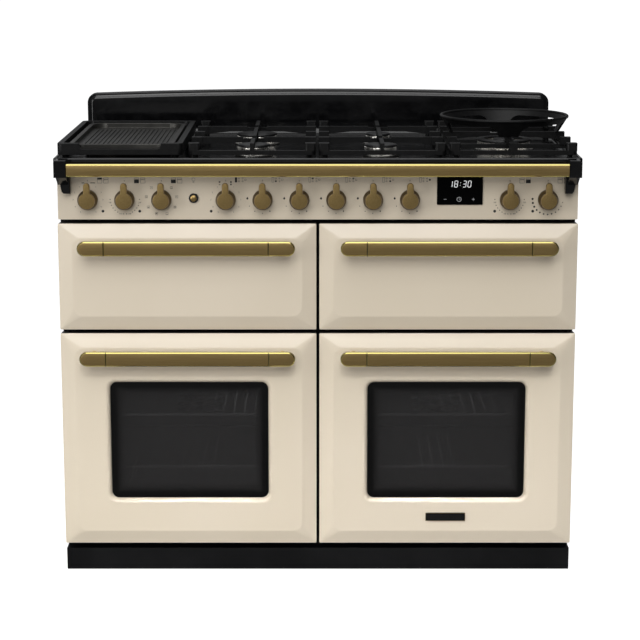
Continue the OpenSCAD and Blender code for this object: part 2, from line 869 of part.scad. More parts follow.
// Oven liners: open-fronted enamelled boxes with a flange behind the front frame
element_d = 7;
element_hole = element_d + 0.6;
u_in = 50;
wide_u = lower_cav_w - 2 * u_in;
narrow_u = 170;
top_u_drop = 16;
low_u_rise = 12;
fan_z = lower_cav_z + lower_cav_h / 2;
shaft_hole = spindle_d + 4;
lamp_in = 28;
lamp_x = lower_cav_w / 2 - lamp_in;
lamp_drop = 46;
lamp_d = 26;
lamp_z = lower_cav_z + lower_cav_h - lamp_drop;
lamp_rim = 4;
lamp_rim_t = 3;
lamp_front = 14;
lamp_back = 24;
cover_in = 60;
cover_w = lower_cav_w - 2 * cover_in;
cover_h = 270;
cover_d = 45;
louvre_l = 110;
louvre_h = 8;
louvre_step = 14;

module u_holes(xm, z, w) {
    for (x = [xm - w / 2, xm + w / 2])
        bar_y(x, z, cav_back_y - 1, cav_sheet + 2, element_hole);
}

module oven_box(xm, z, w, h) {
    t = cav_sheet;
    difference() {
        union() {
            block([xm - w / 2 - t, cav_y, z - t], [xm + w / 2 + t, cav_back_y + t, z + h + t]);
            panel(xm - w / 2 - cav_flange, z - cav_flange,
                  w + 2 * cav_flange, h + 2 * cav_flange, cav_y, t);
        }
        block([xm - w / 2, cav_y - 1, z], [xm + w / 2, cav_back_y, z + h]);
    }
}

module upper_oven_liners() {
    color(dark_steel)
    difference() {
        both_sides() oven_box(door_mid, upper_cav_z, upper_cav_w, upper_cav_h);
        u_holes(-door_mid, upper_cav_z + upper_cav_h - top_u_drop, wide_u);
        u_holes(-door_mid, upper_cav_z + upper_cav_h - top_u_drop, narrow_u);
        u_holes(door_mid, upper_cav_z + upper_cav_h - top_u_drop, wide_u);
        u_holes(door_mid, upper_cav_z + low_u_rise, wide_u);
    }
}

ring_leg = 14;
ring_leg_z = fan_z - sqrt(ring_d * ring_d / 4 - ring_leg * ring_leg);
module fan_cover(xm) {
    t = 1.5;
    difference() {
        block([xm - cover_w / 2, cav_back_y - cover_d, fan_z - cover_h / 2],
              [xm + cover_w / 2, cav_back_y - wall_clear, fan_z + cover_h / 2]);
        block([xm - cover_w / 2 + t, cav_back_y - cover_d + t, fan_z - cover_h / 2 + t],
              [xm + cover_w / 2 - t, cav_back_y + 1, fan_z + cover_h / 2 - t]);
        for (i = [-3 : 3])
            panel(xm - louvre_l / 2, fan_z + i * louvre_step - louvre_h / 2, louvre_l, louvre_h,
                  cav_back_y - cover_d - 1, t + 2, 3);
        for (x = [xm - cover_w / 2 - 1, xm + cover_w / 2 - t - 1], i = [-2 : 2])
            block([x, cav_back_y - cover_d + 12, fan_z + i * 45 - 15],
                  [x + t + 2, cav_back_y - 12, fan_z + i * 45 + 15]);
    }
}

module lower_oven_liner(xm, full) {
    color(dark_steel) {
        difference() {
            oven_box(xm, lower_cav_z, lower_cav_w, lower_cav_h);
            bar_y(xm, fan_z, cav_back_y - 1, cav_sheet + 2, shaft_hole);
            for (x = [xm - ring_leg, xm + ring_leg])
                bar_y(x, ring_leg_z, cav_back_y - 1, cav_sheet + 2, element_hole);
            bar_y(xm + lamp_x, lamp_z, cav_back_y - 1, cav_sheet + 2, lamp_d + 2 * seat_gap);
            if (full) {
                u_holes(xm, lower_cav_z + lower_cav_h - top_u_drop, wide_u);
                u_holes(xm, lower_cav_z + low_u_rise, wide_u);
            }
        }
        fan_cover(xm);
    }
}

module door_seals() {
    seal_w = 10;
    seal_off = 8;
    color(black_enamel)
    both_sides()
        for (c = [[upper_cav_w, upper_cav_h, upper_cav_z], [lower_cav_w, lower_cav_h, lower_cav_z]]) {
            grow = seal_off + seal_w;
            difference() {
                panel(door_mid - c[0] / 2 - grow, c[2] - grow, c[0] + 2 * grow, c[1] + 2 * grow,
                      frame_y - seal_t + seat_gap, seal_t - seat_gap, 14);
                panel(door_mid - c[0] / 2 - seal_off, c[2] - seal_off, c[0] + 2 * seal_off,
                      c[1] + 2 * seal_off, frame_y - seal_t - 1, seal_t + 2, 6);
            }
        }
}

// Shelves rest on side ladders of wire
shelf_d = 350;
shelf_front = cav_y + 12;
ladder_out = 12;
rung_step = 58;
rung_first = 44;
rungs = floor((lower_cav_h - rung_first - 30) / rung_step);

module ladder(xm, w, z, h, count, first) {
    x = xm + w / 2 - wall_clear - wire;
    for (y = [shelf_front + 30, shelf_front + shelf_d - 30 - wire])
        block([x, y, z + wall_clear], [x + wire, y + wire, z + h - 8]);
    for (i = [0 : count - 1])
        block([x - ladder_out, shelf_front + 4, z + first + i * rung_step],
              [x + thin, shelf_front + shelf_d, z + first + i * rung_step + wire]);
}

module shelf(xm, w, z) {
    half = w / 2 - wall_clear - wire - 1;
    rods = 17;
    rod = wire - 2;
    y0 = shelf_front;
    y1 = y0 + shelf_d;
    for (y = [y0, y1 - wire])
        block([xm - half, y, z], [xm + half, y + wire, z + wire]);
    for (x = [xm - half, xm + half - wire])
        block([x, y0, z], [x + wire, y1, z + wire]);
    for (i = [1 : rods])
        block([xm - half + i * 2 * half / (rods + 1) - rod / 2, y0 + 1, z + 1],
              [xm - half + i * 2 * half / (rods + 1) + rod / 2, y1 - 1, z + 1 + rod]);
}

module oven_shelves() {
    low_rung = 1;
    high_rung = 3;
    color(bright_steel) {
        for (xm = [-door_mid, door_mid]) {
            translate([xm, 0, 0]) both_sides()
                ladder(0, lower_cav_w, lower_cav_z, lower_cav_h, rungs, rung_first);
            for (level = [low_rung, high_rung])
                shelf(xm, lower_cav_w, lower_cav_z + rung_first + level * rung_step + wire + seat_gap);
        }
        translate([door_mid, 0, 0]) both_sides()
            ladder(0, upper_cav_w, upper_cav_z, upper_cav_h, 2, 36);
        shelf(door_mid, upper_cav_w, upper_cav_z + 36 + wire + seat_gap);
    }
}

module grill_pan() {
    side_gap = 20;
    w = upper_cav_w - 2 * side_gap;
    d = 340;
    h = 32;
    t = 1.5;
    rib = 3;
    rib_h = 18;
    x0 = -door_mid - w / 2;
    y0 = cav_y + 14;
    z0 = upper_cav_z + seat_gap;
    color(bright_steel) {
        difference() {
            plate(x0, y0, w, d, z0, h, 18);
            plate(x0 + t, y0 + t, w - 2 * t, d - 2 * t, z0 + t, h, 16);
        }
        for (i = [1 : 11])
            block([x0 + 3 * wire, y0 + (i * d - 6 * rib) / 12, z0 + t],
                  [x0 + w - 3 * wire, y0 + (i * d + 6 * rib) / 12, z0 + t + rib_h]);
    }
}

// Electric elements: loops in the ovens, rings round the fans, a heater under the griddle
element_tail = 18;
module u_element(xm, z, w) {
    y0 = cav_y + 50;
    y1 = cav_back_y + cav_sheet + element_tail;
    pipe_run([[xm - w / 2, y1, z], [xm - w / 2, y0, z],
              [xm + w / 2, y0, z], [xm + w / 2, y1, z]], element_d);
}

ring_front = 22;
module ring_element(xm) {
    y = cav_back_y - ring_front;
    translate([xm, y, fan_z]) rotate([90, 0, 0])
        rotate_extrude() translate([ring_d / 2, 0]) circle(d = element_d);
    for (x = [xm - ring_leg, xm + ring_leg])
        bar_y(x, ring_leg_z, y, ring_front + cav_sheet + element_tail, element_d);
}

heater_d = 180;
heater_h = 8;
module heating_elements() {
    color(dark_steel) {
        u_element(-door_mid, upper_cav_z + upper_cav_h - top_u_drop, wide_u);
        u_element(-door_mid, upper_cav_z + upper_cav_h - top_u_drop, narrow_u);
        u_element(door_mid, upper_cav_z + upper_cav_h - top_u_drop, wide_u);
        u_element(door_mid, upper_cav_z + low_u_rise, wide_u);
        u_element(-door_mid, lower_cav_z + lower_cav_h - top_u_drop, wide_u);
        u_element(-door_mid, lower_cav_z + low_u_rise, wide_u);
        ring_element(-door_mid);
        ring_element(door_mid);
        translate([griddle_x + griddle_w / 2, module_mid_y, deck_z])
            cylinder(h = heater_h, d = heater_d);
    }
}

// Oven fans: a motor behind the oven's back wall and a bladed wheel in front of it
motor_d = 82;
motor_l = 44;
fan_back = cav_back_y - 9;
fan_w = 20;
module fan_motors() {
    color(bright_steel)
    for (xm = [-door_mid, door_mid])
        difference() {
            bar_y(xm, fan_z, cav_back_y + cav_sheet, motor_l, motor_d);
            bar_y(xm, fan_z, cav_back_y, spindle_in + 4, spindle_d + 2 * run_gap);
        }
}

fan_hub_d = 24;
fan_disc = 1.5;
blade_l = 31;
blade_t = 1.2;
module fan(xm) {
    blades = 12;
    shaft_front = fan_back - fan_w - 4;
    shaft_back = cav_back_y + cav_sheet + spindle_in - 2;
    color(bright_steel) {
        bar_y(xm, fan_z, shaft_front, shaft_back - shaft_front, spindle_d);
        bar_y(xm, fan_z, fan_back - fan_w, fan_w, fan_hub_d);
        bar_y(xm, fan_z, fan_back - fan_disc, fan_disc, fan_d);
        for (i = [0 : blades - 1])
            translate([xm, fan_back, fan_z]) rotate([0, i * 360 / blades, 0])
                block([fan_d / 2 - 1 - blade_l, -fan_w, -blade_t / 2], [fan_d / 2 - 1, -1, blade_t / 2]);
    }
}

module oven_lamps() {
    color(smoked_glass)
    for (xm = [-door_mid, door_mid]) {
        x = xm + lamp_x;
        bar_y(x, lamp_z, cav_back_y - lamp_rim_t, lamp_rim_t, lamp_d + 2 * lamp_rim);
        bar_y(x, lamp_z, cav_back_y - lamp_front, lamp_front + cav_sheet + lamp_back, lamp_d);
    }
}

// Gas burners: a cup through the tray, a crown on the deck and a cap on the crown
skirt_h = 6;
crown_h = 13;
cap_h = 6;
cap_gap = 0.2;
cap_over = 1;
crown_step = 4;
crown_wall = 9;
wok_crown_d = 118;
wok_crown_wall = 14;
wok_skirt_d = wok_crown_d + 10;
wok_inner_d = 44;
plug_d = 5;
module ring_tube(h, d_out, d_in) {
    difference() {
        cylinder(h = h, d = d_out);
        translate([0, 0, -1]) cylinder(h = h + 2, d = d_in);
    }
}

module gas_burners() {
    color(bright_steel) {
        for (b = small_burners)
            translate([b[0], b[1], 0]) {
                translate([0, 0, burner_cup_z]) cylinder(h = deck_z - burner_cup_z, d = burner_cup_d);
                translate([0, 0, deck_z]) cylinder(h = skirt_h, d = b[2]);
                translate([0, 0, deck_z + skirt_h - 1])
                    ring_tube(crown_h + 1, b[2] - 2 * crown_step, b[2] - 2 * (crown_step + crown_wall));
            }
        translate([wok_at[0], wok_at[1], 0]) {
            translate([0, 0, burner_cup_z]) cylinder(h = deck_z - burner_cup_z, d = burner_cup_d);
            translate([0, 0, deck_z]) cylinder(h = skirt_h, d = wok_skirt_d);
            translate([0, 0, deck_z + skirt_h - 1])
                ring_tube(crown_h + 1, wok_crown_d, wok_crown_d - 2 * wok_crown_wall);
            translate([0, 0, deck_z + skirt_h - 1])
                ring_tube(crown_h + 1, wok_inner_d, wok_inner_d - 2 * crown_wall);
        }
        // Spark plugs and flame sensors beside each crown
        for (i = [0 : len(burner_axes) - 1]) {
            r = (i < len(small_burners) ? small_burners[i][2] : wok_skirt_d) / 2 + plug_d;
            for (turn = [45, 135])
                translate([burner_axes[i][0], burner_axes[i][1], deck_z])
                    rotate([0, 0, turn]) translate([r, 0, 0])
                        cylinder(h = skirt_h + crown_h - 2, d = plug_d);
        }
    }
}

cap_z = deck_z + skirt_h + crown_h + cap_gap;
module burner_caps() {
    color(cast_black) {
        for (b = small_burners)
            translate([b[0], b[1], cap_z]) cylinder(h = cap_h, d = b[2] - 2 * crown_step + 2 * cap_over);
        translate([wok_at[0], wok_at[1], cap_z]) {
            ring_tube(cap_h, wok_crown_d + 2 * cap_over, wok_crown_d - 2 * wok_crown_wall - 4 * cap_over);
            cylinder(h = cap_h, d = wok_inner_d + 2 * cap_over);
        }
    }
}

// Griddle: a deep cast frame with a low front, and a ribbed plate that lies in it
cook_z = hob_h + support_rise;
griddle_x = left_mid - support_w / 2 - griddle_gap - griddle_w;
griddle_y = front_y + hob_front;
griddle_wall = 12;
griddle_h = 24;
notch_l = 170;
notch_h = 12;
plate_inset = 20;
plate_edge = 16;
plate_h = 16;
plate_t = 6;
module griddle_frame() {
    z0 = cook_z - griddle_h;
    foot_at = 16;
    color(cast_black) {
        difference() {
            plate(griddle_x, griddle_y, griddle_w, module_d, z0, griddle_h, 10);
            plate(griddle_x + griddle_wall, griddle_y + griddle_wall, griddle_w - 2 * griddle_wall,
                  module_d - 2 * griddle_wall, z0 - 1, griddle_h + 2, 14);
            panel(griddle_x + (griddle_w - notch_l) / 2, cook_z - notch_h, notch_l, notch_h + 10,
                  griddle_y - 1, griddle_wall + 2, 9);
        }
        // Inner ledge that the plate's rim rests on
        difference() {
            plate(griddle_x + griddle_wall - 1, griddle_y + griddle_wall - 1,
                  griddle_w - 2 * griddle_wall + 2, module_d - 2 * griddle_wall + 2, z0, 4, 14);
            plate(griddle_x + plate_inset + 6, griddle_y + plate_edge + 6, griddle_w - 2 * plate_inset - 12,
                  module_d - 2 * plate_edge - 12, z0 - 1, 6, 30);
        }
        for (x = [griddle_x + foot_at, griddle_x + griddle_w - foot_at],
             y = [griddle_y + foot_at, griddle_y + module_d - foot_at])
            translate([x, y, deck_z + seat_gap]) cylinder(h = z0 + 1 - deck_z - seat_gap, d = 14);
    }
}

module griddle_plate() {
    z0 = cook_z - griddle_h + 4 + seat_gap;
    x0 = griddle_x + plate_inset;
    y0 = griddle_y + plate_edge;
    w = griddle_w - 2 * plate_inset;
    d = module_d - 2 * plate_edge;
    rim = 10;
    ribs = 19;
    color(bright_steel) {
        difference() {
            plate(x0, y0, w, d, z0, plate_h, 34);
            plate(x0 + rim, y0 + rim, w - 2 * rim, d - 2 * rim, z0 + plate_t, plate_h, 28);
        }
        for (i = [0 : ribs - 1])
            block([x0 + 24 + i * (w - 48) / (ribs - 1) - 2, y0 + 34, z0 + plate_t - 1],
                  [x0 + 24 + i * (w - 48) / (ribs - 1) + 2, y0 + d - 60, z0 + plate_t + 2]);
    }
}

// Pan supports: a flat cast ring with lugs round it and fingers over the burners
small_tip = 22;
wok_tip = 30;
side_inset = 14;
finger_tip_h = 7;
finger_h = support_rise - 3 - support_bar;
bar_z = cook_z - finger_h - support_bar;
module finger(length, tip_h) {
    // A finger that runs from its root to its tip along +X, with a rising underside
    translate([0, finger_w / 2, 0]) rotate([90, 0, 0]) linear_extrude(finger_w)
        polygon([[0, cook_z - finger_h - 1], [length * 0.25, cook_z - finger_h - 1],
                 [length, cook_z - tip_h], [length, cook_z], [0, cook_z]]);
}

two_burners = [module_mid_y - burner_step, module_mid_y + burner_step];
support_foot_d = 11;
spine_h = 10;
hub_d = 12.5;
hub_drop = 2;

module pan_support(xm, burners_y, side_tip) {
    x0 = xm - support_w / 2;
    end_l = burners_y[0] - griddle_y - side_tip;
    lug_z = bar_z + support_bar;
    color(cast_black) {
        difference() {
            plate(x0, griddle_y, support_w, module_d, bar_z, support_bar, 8);
            plate(x0 + support_bar, griddle_y + support_bar, support_w - 2 * support_bar,
                  module_d - 2 * support_bar, bar_z - 1, support_bar + 2, 6);
        }
        for (x = [x0, x0 + support_w - lug_w], y = [griddle_y, griddle_y + module_d - lug_w])
            plate(x, y, lug_w, lug_w, lug_z - 1, finger_h + 1, 4);
        for (y = concat(two_burners, [module_mid_y]), side = [-1, 1])
            translate([xm, y, 0]) on_side(side)
                translate([support_w / 2 - lug_w, -finger_w, lug_z - 1])
                    cube([lug_w, 2 * finger_w, finger_h + 1]);
        for (y = burners_y, side = [-1, 1])
            translate([xm + side * support_w / 2, y, 0])
                rotate([0, 0, side > 0 ? 180 : 0]) finger(support_w / 2 - side_tip, finger_tip_h);
        for (side = [-1, 1])
            translate([xm, module_mid_y + side * module_d / 2, 0])
                rotate([0, 0, side > 0 ? -90 : 90]) finger(end_l, finger_tip_h);
        if (len(burners_y) == 1) {
            for (y = two_burners)
                block([x0 + 1, y - finger_w / 2, bar_z], [x0 + support_w - 1, y + finger_w / 2, lug_z]);
            for (side = [-1, 1])
                translate([xm, module_mid_y + side * (module_d - lug_w) / 2, (bar_z + cook_z) / 2])
                    cube([2 * finger_w, lug_w, cook_z - bar_z], center = true);
        } else {
            block([x0 + 1, module_mid_y - finger_w / 2, bar_z],
                  [x0 + support_w - 1, module_mid_y + finger_w / 2, lug_z]);
            block([xm - finger_w / 2, burners_y[0] + side_tip, cook_z - spine_h],
                  [xm + finger_w / 2, burners_y[1] - side_tip, cook_z]);
            translate([xm, module_mid_y, bar_z]) cylinder(h = cook_z - bar_z - hub_drop, d = hub_d);
        }
        for (x = [x0 + side_inset, x0 + support_w - side_inset],
             y = [griddle_y + side_inset, griddle_y + module_d - side_inset])
            translate([x, y, deck_z + seat_gap])
                cylinder(h = bar_z + 1 - deck_z - seat_gap, d = support_foot_d);
    }
}

// Wok ring: a cone with a rounded rim, cut away between its four legs
module wok_ring() {
    z0 = cook_z + seat_gap;
    rim = 7;
    foot_r = support_w / 2 - 14;
    wall = 5;
    band = 15;
    leg_w = 43;
    leg_top = 86;
    shin_h = 12;
    under_band = wok_ring_h - band + 1;
    rim_r = wok_ring_d / 2;
    color(cast_black)
    translate([wok_at[0], wok_at[1], z0]) {
        translate([0, 0, wok_ring_h - rim / 2])
            rotate_extrude() translate([rim_r - rim / 2, 0]) circle(d = rim);
        intersection() {
            rotate_extrude()
                polygon([[foot_r - wall, 0], [foot_r, 0], [rim_r - 1, wok_ring_h - rim / 2],
                         [rim_r - wall - 1, wok_ring_h - rim / 2]]);
            union() {
                translate([0, 0, wok_ring_h - band]) cylinder(h = band, r = rim_r);
                for (a = [0 : 90 : 270])
                    rotate([90, 0, a]) translate([0, 0, -rim_r])
                        linear_extrude(rim_r)
                            polygon([[-leg_w / 2, 0], [leg_w / 2, 0], [leg_w / 2 + 2, shin_h],
                                     [leg_top / 2, under_band], [-leg_top / 2, under_band],
                                     [-leg_w / 2 - 2, shin_h]]);
            }
        }
    }
}

chassis();
side_panels();
back_panel();
plinth();
levelling_feet();
splashback();
hob_tray();
handrail();
handrail_brackets();
on_side(-1) door_panel(upper_door_z, upper_door_h, false);  // left_grill_door_panel
on_side(-1) door_liner(upper_door_z, upper_door_h, false);  // left_grill_door_liner
on_side(-1) door_handle(upper_door_top);  // left_grill_door_handle
door_panel(upper_door_z, upper_door_h, false);  // right_top_door_panel
door_liner(upper_door_z, upper_door_h, false);  // right_top_door_liner
door_handle(upper_door_top);  // right_top_door_handle
on_side(-1) door_panel(lower_door_z, lower_door_h, true);  // left_oven_door_panel
on_side(-1) door_liner(lower_door_z, lower_door_h, true);  // left_oven_door_liner
on_side(-1) door_handle(lower_door_top);  // left_oven_door_handle
on_side(-1) door_glass(lower_door_z);  // left_oven_door_glass
door_panel(lower_door_z, lower_door_h, true);  // right_oven_door_panel
door_liner(lower_door_z, lower_door_h, true);  // right_oven_door_liner
door_handle(lower_door_top);  // right_oven_door_handle
door_glass(lower_door_z);  // right_oven_door_glass
badge_plate();
control_fascia();
clock_display();
oven_switches();
gas_valves();
gas_pipes();
light_button();
knob(electric_x[0]);  // grill_knob
knob(electric_x[1]);  // left_oven_heat_knob
knob(electric_x[2]);  // left_oven_function_knob
knob(electric_x[3]);  // griddle_knob
knob(gas_x[0]);  // front_left_burner_knob
knob(gas_x[1]);  // rear_left_burner_knob
knob(gas_x[2]);  // rear_centre_burner_knob
knob(gas_x[3]);  // front_centre_burner_knob
knob(gas_x[4]);  // wok_burner_knob
knob(electric_x[4]);  // right_oven_heat_knob
knob(electric_x[5]);  // right_top_oven_knob
upper_oven_liners();
lower_oven_liner(-door_mid, true);  // left_oven_liner
lower_oven_liner(door_mid, false);  // right_oven_liner
door_seals();
oven_shelves();
grill_pan();
heating_elements();
fan_motors();
fan(-door_mid);  // left_fan
fan(door_mid);  // right_fan
oven_lamps();
gas_burners();
burner_caps();
griddle_frame();
griddle_plate();
pan_support(left_mid, two_burners, small_tip);  // left_pan_support
pan_support(centre_mid, two_burners, small_tip);  // centre_pan_support
pan_support(right_mid, [module_mid_y], wok_tip);  // right_pan_support
wok_ring();
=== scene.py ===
import json
import math

import bmesh
import bpy
import numpy as np
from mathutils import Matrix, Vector


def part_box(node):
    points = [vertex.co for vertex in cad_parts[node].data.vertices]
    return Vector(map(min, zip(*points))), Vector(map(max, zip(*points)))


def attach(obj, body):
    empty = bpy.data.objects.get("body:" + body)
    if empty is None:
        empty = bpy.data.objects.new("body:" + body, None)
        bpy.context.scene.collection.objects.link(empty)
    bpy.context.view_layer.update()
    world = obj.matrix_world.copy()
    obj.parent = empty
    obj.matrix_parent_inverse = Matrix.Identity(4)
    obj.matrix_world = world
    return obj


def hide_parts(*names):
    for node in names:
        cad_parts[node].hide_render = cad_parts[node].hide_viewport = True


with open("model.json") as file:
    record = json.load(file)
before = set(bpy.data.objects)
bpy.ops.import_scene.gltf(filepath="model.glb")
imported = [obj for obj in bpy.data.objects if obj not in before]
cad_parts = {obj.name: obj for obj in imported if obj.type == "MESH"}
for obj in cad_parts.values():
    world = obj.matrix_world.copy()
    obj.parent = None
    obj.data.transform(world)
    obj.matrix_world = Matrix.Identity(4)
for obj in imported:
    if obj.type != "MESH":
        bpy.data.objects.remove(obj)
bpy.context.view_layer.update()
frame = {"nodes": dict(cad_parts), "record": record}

# Sizes are in metres, with x to the right of the picture, y to the back and z up
MM = 0.001
SCENE = bpy.context.scene
RECORD = frame["record"]
BODY_OF = {node: body for body, nodes in RECORD["behaviour"]["bodies"].items() for node in nodes}
SLOT_OF = {part["node"]: part["material_slot"] for part in RECORD["subparts"]}

DOORS = ["left_grill_door", "right_top_door", "left_oven_door", "right_oven_door"]
ELECTRIC_KNOBS = ["grill_knob", "left_oven_heat_knob", "left_oven_function_knob", "griddle_knob",
                  "right_oven_heat_knob", "right_top_oven_knob"]
GAS_KNOBS = ["front_left_burner_knob", "rear_left_burner_knob", "rear_centre_burner_knob",
             "front_centre_burner_knob", "wok_burner_knob"]

# FRONT_Y is the face of a door's edge, and its field stands FIELD_RISE in front of that
FIELD_RISE = 10 * MM
FRONT_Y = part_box("left_oven_door_panel")[0].y + FIELD_RISE
FASCIA_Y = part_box("control_fascia")[0].y
# A window's glass reaches this far behind its door's skin
GLASS_LAP = 10 * MM


# Mesh making: a solid is a pair of its points and its faces. Points within WELD_GAP are one, a ring on an
# axis keeps AXIS_R, and a face whose normal leans to the front between the two limits is a cut edge, with
# painted highlight colour

WELD_GAP = 0.001 * MM
AXIS_R = 0.01 * MM
HIGHLIGHT_LOW, HIGHLIGHT_HIGH = 0.4, 0.92


def measures(node):
    """A node's box: its low corner, high corner, middle and half sizes."""
    low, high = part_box(node)
    return low, high, (low + high) / 2, (high - low) / 2


def middle(node):
    """The middle of a node's box."""
    return measures(node)[2]


def loft(rings, closed=False):
    """Rings of equally many points joined by quads: ring i's point j meets its next neighbour and ring
    i + 1. The first and last rings are closed by a face each, or join one another."""
    rings = np.asarray(rings, float)
    count, around = rings.shape[:2]
    rows = count if closed else count - 1
    here = np.arange(rows)[:, None] * around
    near = (here + np.arange(around)).ravel()
    far = (here + (np.arange(around) + 1) % around).ravel()
    total = count * around
    faces = np.stack([near, far, (far + around) % total, (near + around) % total], 1).tolist()
    if not closed:
        faces.append(list(range(around))[::-1])
        faces.append(list(range(total - around, total)))
    return rings.reshape(-1, 3), faces


def joined(solids):
    """Several solids as one: the points in a row, and each solid's faces counted on from those before."""
    points, faces, start = [], [], 0
    for some_points, some_faces in solids:
        points.append(np.asarray(some_points, float))
        faces += [[start + i for i in face] for face in some_faces]
        start += len(some_points)
    return np.concatenate(points), faces


def polar(r, angle):
    """Points of an outline: r times the cosine and sine of each angle."""
    return np.stack([r * np.cos(angle), r * np.sin(angle)], 1)


def circle(r, count=64):
    """Points at radius r and even angles."""
    return polar(r, np.arange(count) * 2 * math.pi / count)


def rounded(half_w, half_h, r, arc=8):
    """A rectangle with round corners: each corner's centre plus a quarter circle of radius r."""
    turn = np.linspace(0, math.pi / 2, arc + 1)
    corners = np.array([(1, 1), (-1, 1), (-1, -1), (1, -1)]) * (half_w - r, half_h - r)
    return np.concatenate([polar(r, turn + i * math.pi / 2) + corner for i, corner in enumerate(corners)])


def shrunk(outline, inset):
    """A convex outline, counter-clockwise, with every side moved inwards by inset."""
    outline = np.asarray(outline, float)
    ahead = np.roll(outline, -1, 0) - outline
    ahead /= np.linalg.norm(ahead, axis=1)[:, None]
    inward = np.stack([-ahead[:, 1], ahead[:, 0]], 1)
    before, after = np.roll(inward, 1, 0), inward
    return outline + inset * (before + after) / (1 + (before * after).sum(1))[:, None]


def upright(outline, x, z, y):
    """An outline stood up to face the front: its points go to x and z, and y is the same all round."""
    return np.stack([x + outline[:, 0], np.full(len(outline), y), z + outline[:, 1]], 1)


def sideways(outline, x):
    """An outline stood up to face the side: its points are y and z, and x is the same all round."""
    return np.stack([np.full(len(outline), x), outline[:, 0], outline[:, 1]], 1)


def flat(outline, x, y, z):
    """An outline laid level: its points go to x and y, at one height or a height for each."""
    return np.stack([x + outline[:, 0], y + outline[:, 1], np.full(len(outline), z)], 1)


def edge_round(r, steps=4):
    """Quarter circle of radius r as pairs of inset and depth, from the side round to the face."""
    angle = np.linspace(0, math.pi / 2, steps + 1)
    return [(r * (1 - math.cos(a)), r * (1 - math.sin(a))) for a in angle]


def chamfered(c):
    """Insets and depths from a side to a face, over a flat chamfer of size c with softened shoulders."""
    return [(0.0, c * 1.25), (0.12 * c, 0.85 * c), (0.85 * c, 0.12 * c), (1.25 * c, 0.0)]


def prism(outline, place, near, far, c):
    """A convex outline carried from near to far, chamfered by c at both ends."""
    return loft([place(shrunk(outline, inset), depth)
                 for inset, depth in [(c, near), (0, near + c), (0, far - c), (c, far)]])


def spun(profile, x, y, z, count=72, axis="z"):
    """A surface of revolution: each (radius, height) of the profile becomes a ring about an axis through
    x, y, z."""
    if axis == "z":
        place = lambda outline, height: flat(outline, x, y, z + height)
    else:
        place = lambda outline, height: upright(outline, x, z, y + height)
    return loft([place(circle(max(radius, AXIS_R), count), height) for radius, height in profile])


def placed(name, data):
    """A new object in the scene."""
    made = bpy.data.objects.new(name, data)
    SCENE.collection.objects.link(made)
    return made


def piece(name, solids, finish, body, replaces=(), sharp=32, edge_highlight=False):
    """Makes one shown object of some solids, with outward faces, and edges past sharp degrees left crisp.
    With the edge flag, the faces that slant away from the front are marked as cut edges, to which the brass
    finish gives a painted highlight colour."""
    points, faces = joined(solids)
    mesh = bpy.data.meshes.new(name)
    mesh.from_pydata(points.tolist(), [], faces)
    work = bmesh.new()
    work.from_mesh(mesh)
    bmesh.ops.remove_doubles(work, verts=work.verts, dist=WELD_GAP)
    bmesh.ops.recalc_face_normals(work, faces=work.faces)
    work.to_mesh(mesh)
    work.free()
    mesh.shade_smooth()
    mesh.set_sharp_from_angle(angle=math.radians(sharp))
    if edge_highlight:
        # Faces marked here get a painted highlight colour in the brass finish
        cut_highlight = mesh.attributes.new("cut_edge_highlight", "FLOAT", "FACE")
        slants = [HIGHLIGHT_LOW < -polygon.normal.y < HIGHLIGHT_HIGH for polygon in mesh.polygons]
        cut_highlight.data.foreach_set("value", [float(slant) for slant in slants])
    mesh.materials.append(finish)
    made = placed(name, mesh)
    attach(made, body)
    if replaces:
        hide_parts(*replaces)
    return made


def stand_in(node, solids, finish, sharp=32, edge_highlight=False):
    """The piece that is shown for one CAD node, on its body and with the finish it is given."""
    return piece(node + "_form", solids, finish, BODY_OF[node], [node], sharp, edge_highlight)


# Finishes

def srgb(red, green, blue):
    """A screen colour from 0 to 255 as linear light."""
    share = [c / 255 for c in (red, green, blue)]
    return tuple(c / 12.92 if c <= 0.04045 else ((c + 0.055) / 1.055) ** 2.4 for c in share) + (1.0,)


def shaded(colour, share):
    """A colour with its light multiplied by a share."""
    return tuple(c * share for c in colour[:3]) + (1.0,)


class Signal:
    """A shader socket used in arithmetic: each operator adds its Math node."""

    def __init__(self, nodes, socket):
        self.nodes, self.socket = nodes, socket

    def _math(self, operation, *values):
        return self.nodes.add("ShaderNodeMath", {"operation": operation}, dict(enumerate(values)))

    def __add__(self, other):
        return self._math("ADD", self, other)

    __radd__ = __add__

    def __sub__(self, other):
        return self._math("SUBTRACT", self, other)

    def __rsub__(self, other):
        return self._math("SUBTRACT", other, self)

    def __mul__(self, other):
        return self._math("MULTIPLY", self, other)

    __rmul__ = __mul__

    def __abs__(self):
        return self._math("ABSOLUTE", self)

    def or_more(self, other):
        """The larger of two signals."""
        return self._math("MAXIMUM", self, other)

    def ramp(self, low, high, start=0.0, end=1.0, course="SMOOTHSTEP"):
        """From start to end as the signal goes from low to high."""
        ends = {"Value": self, "From Min": low, "From Max": high, "To Min": start, "To Max": end}
        return self.nodes.add("ShaderNodeMapRange", {"interpolation_type": course}, ends)


class Nodes:
    """A node tree in the making. add() makes any node and gives one of its outputs, where it has any."""

    def __init__(self, tree):
        self.tree = tree
        tree.nodes.clear()

    def add(self, kind, settings=(), sockets=(), output=0):
        node = self.tree.nodes.new(kind)
        for key, value in dict(settings).items():
            setattr(node, key, value)
        for key, value in dict(sockets).items():
            if isinstance(value, Signal):
                self.tree.links.new(value.socket, node.inputs[key])
            else:
                node.inputs[key].default_value = value
        return Signal(self, node.outputs[output]) if node.outputs else None


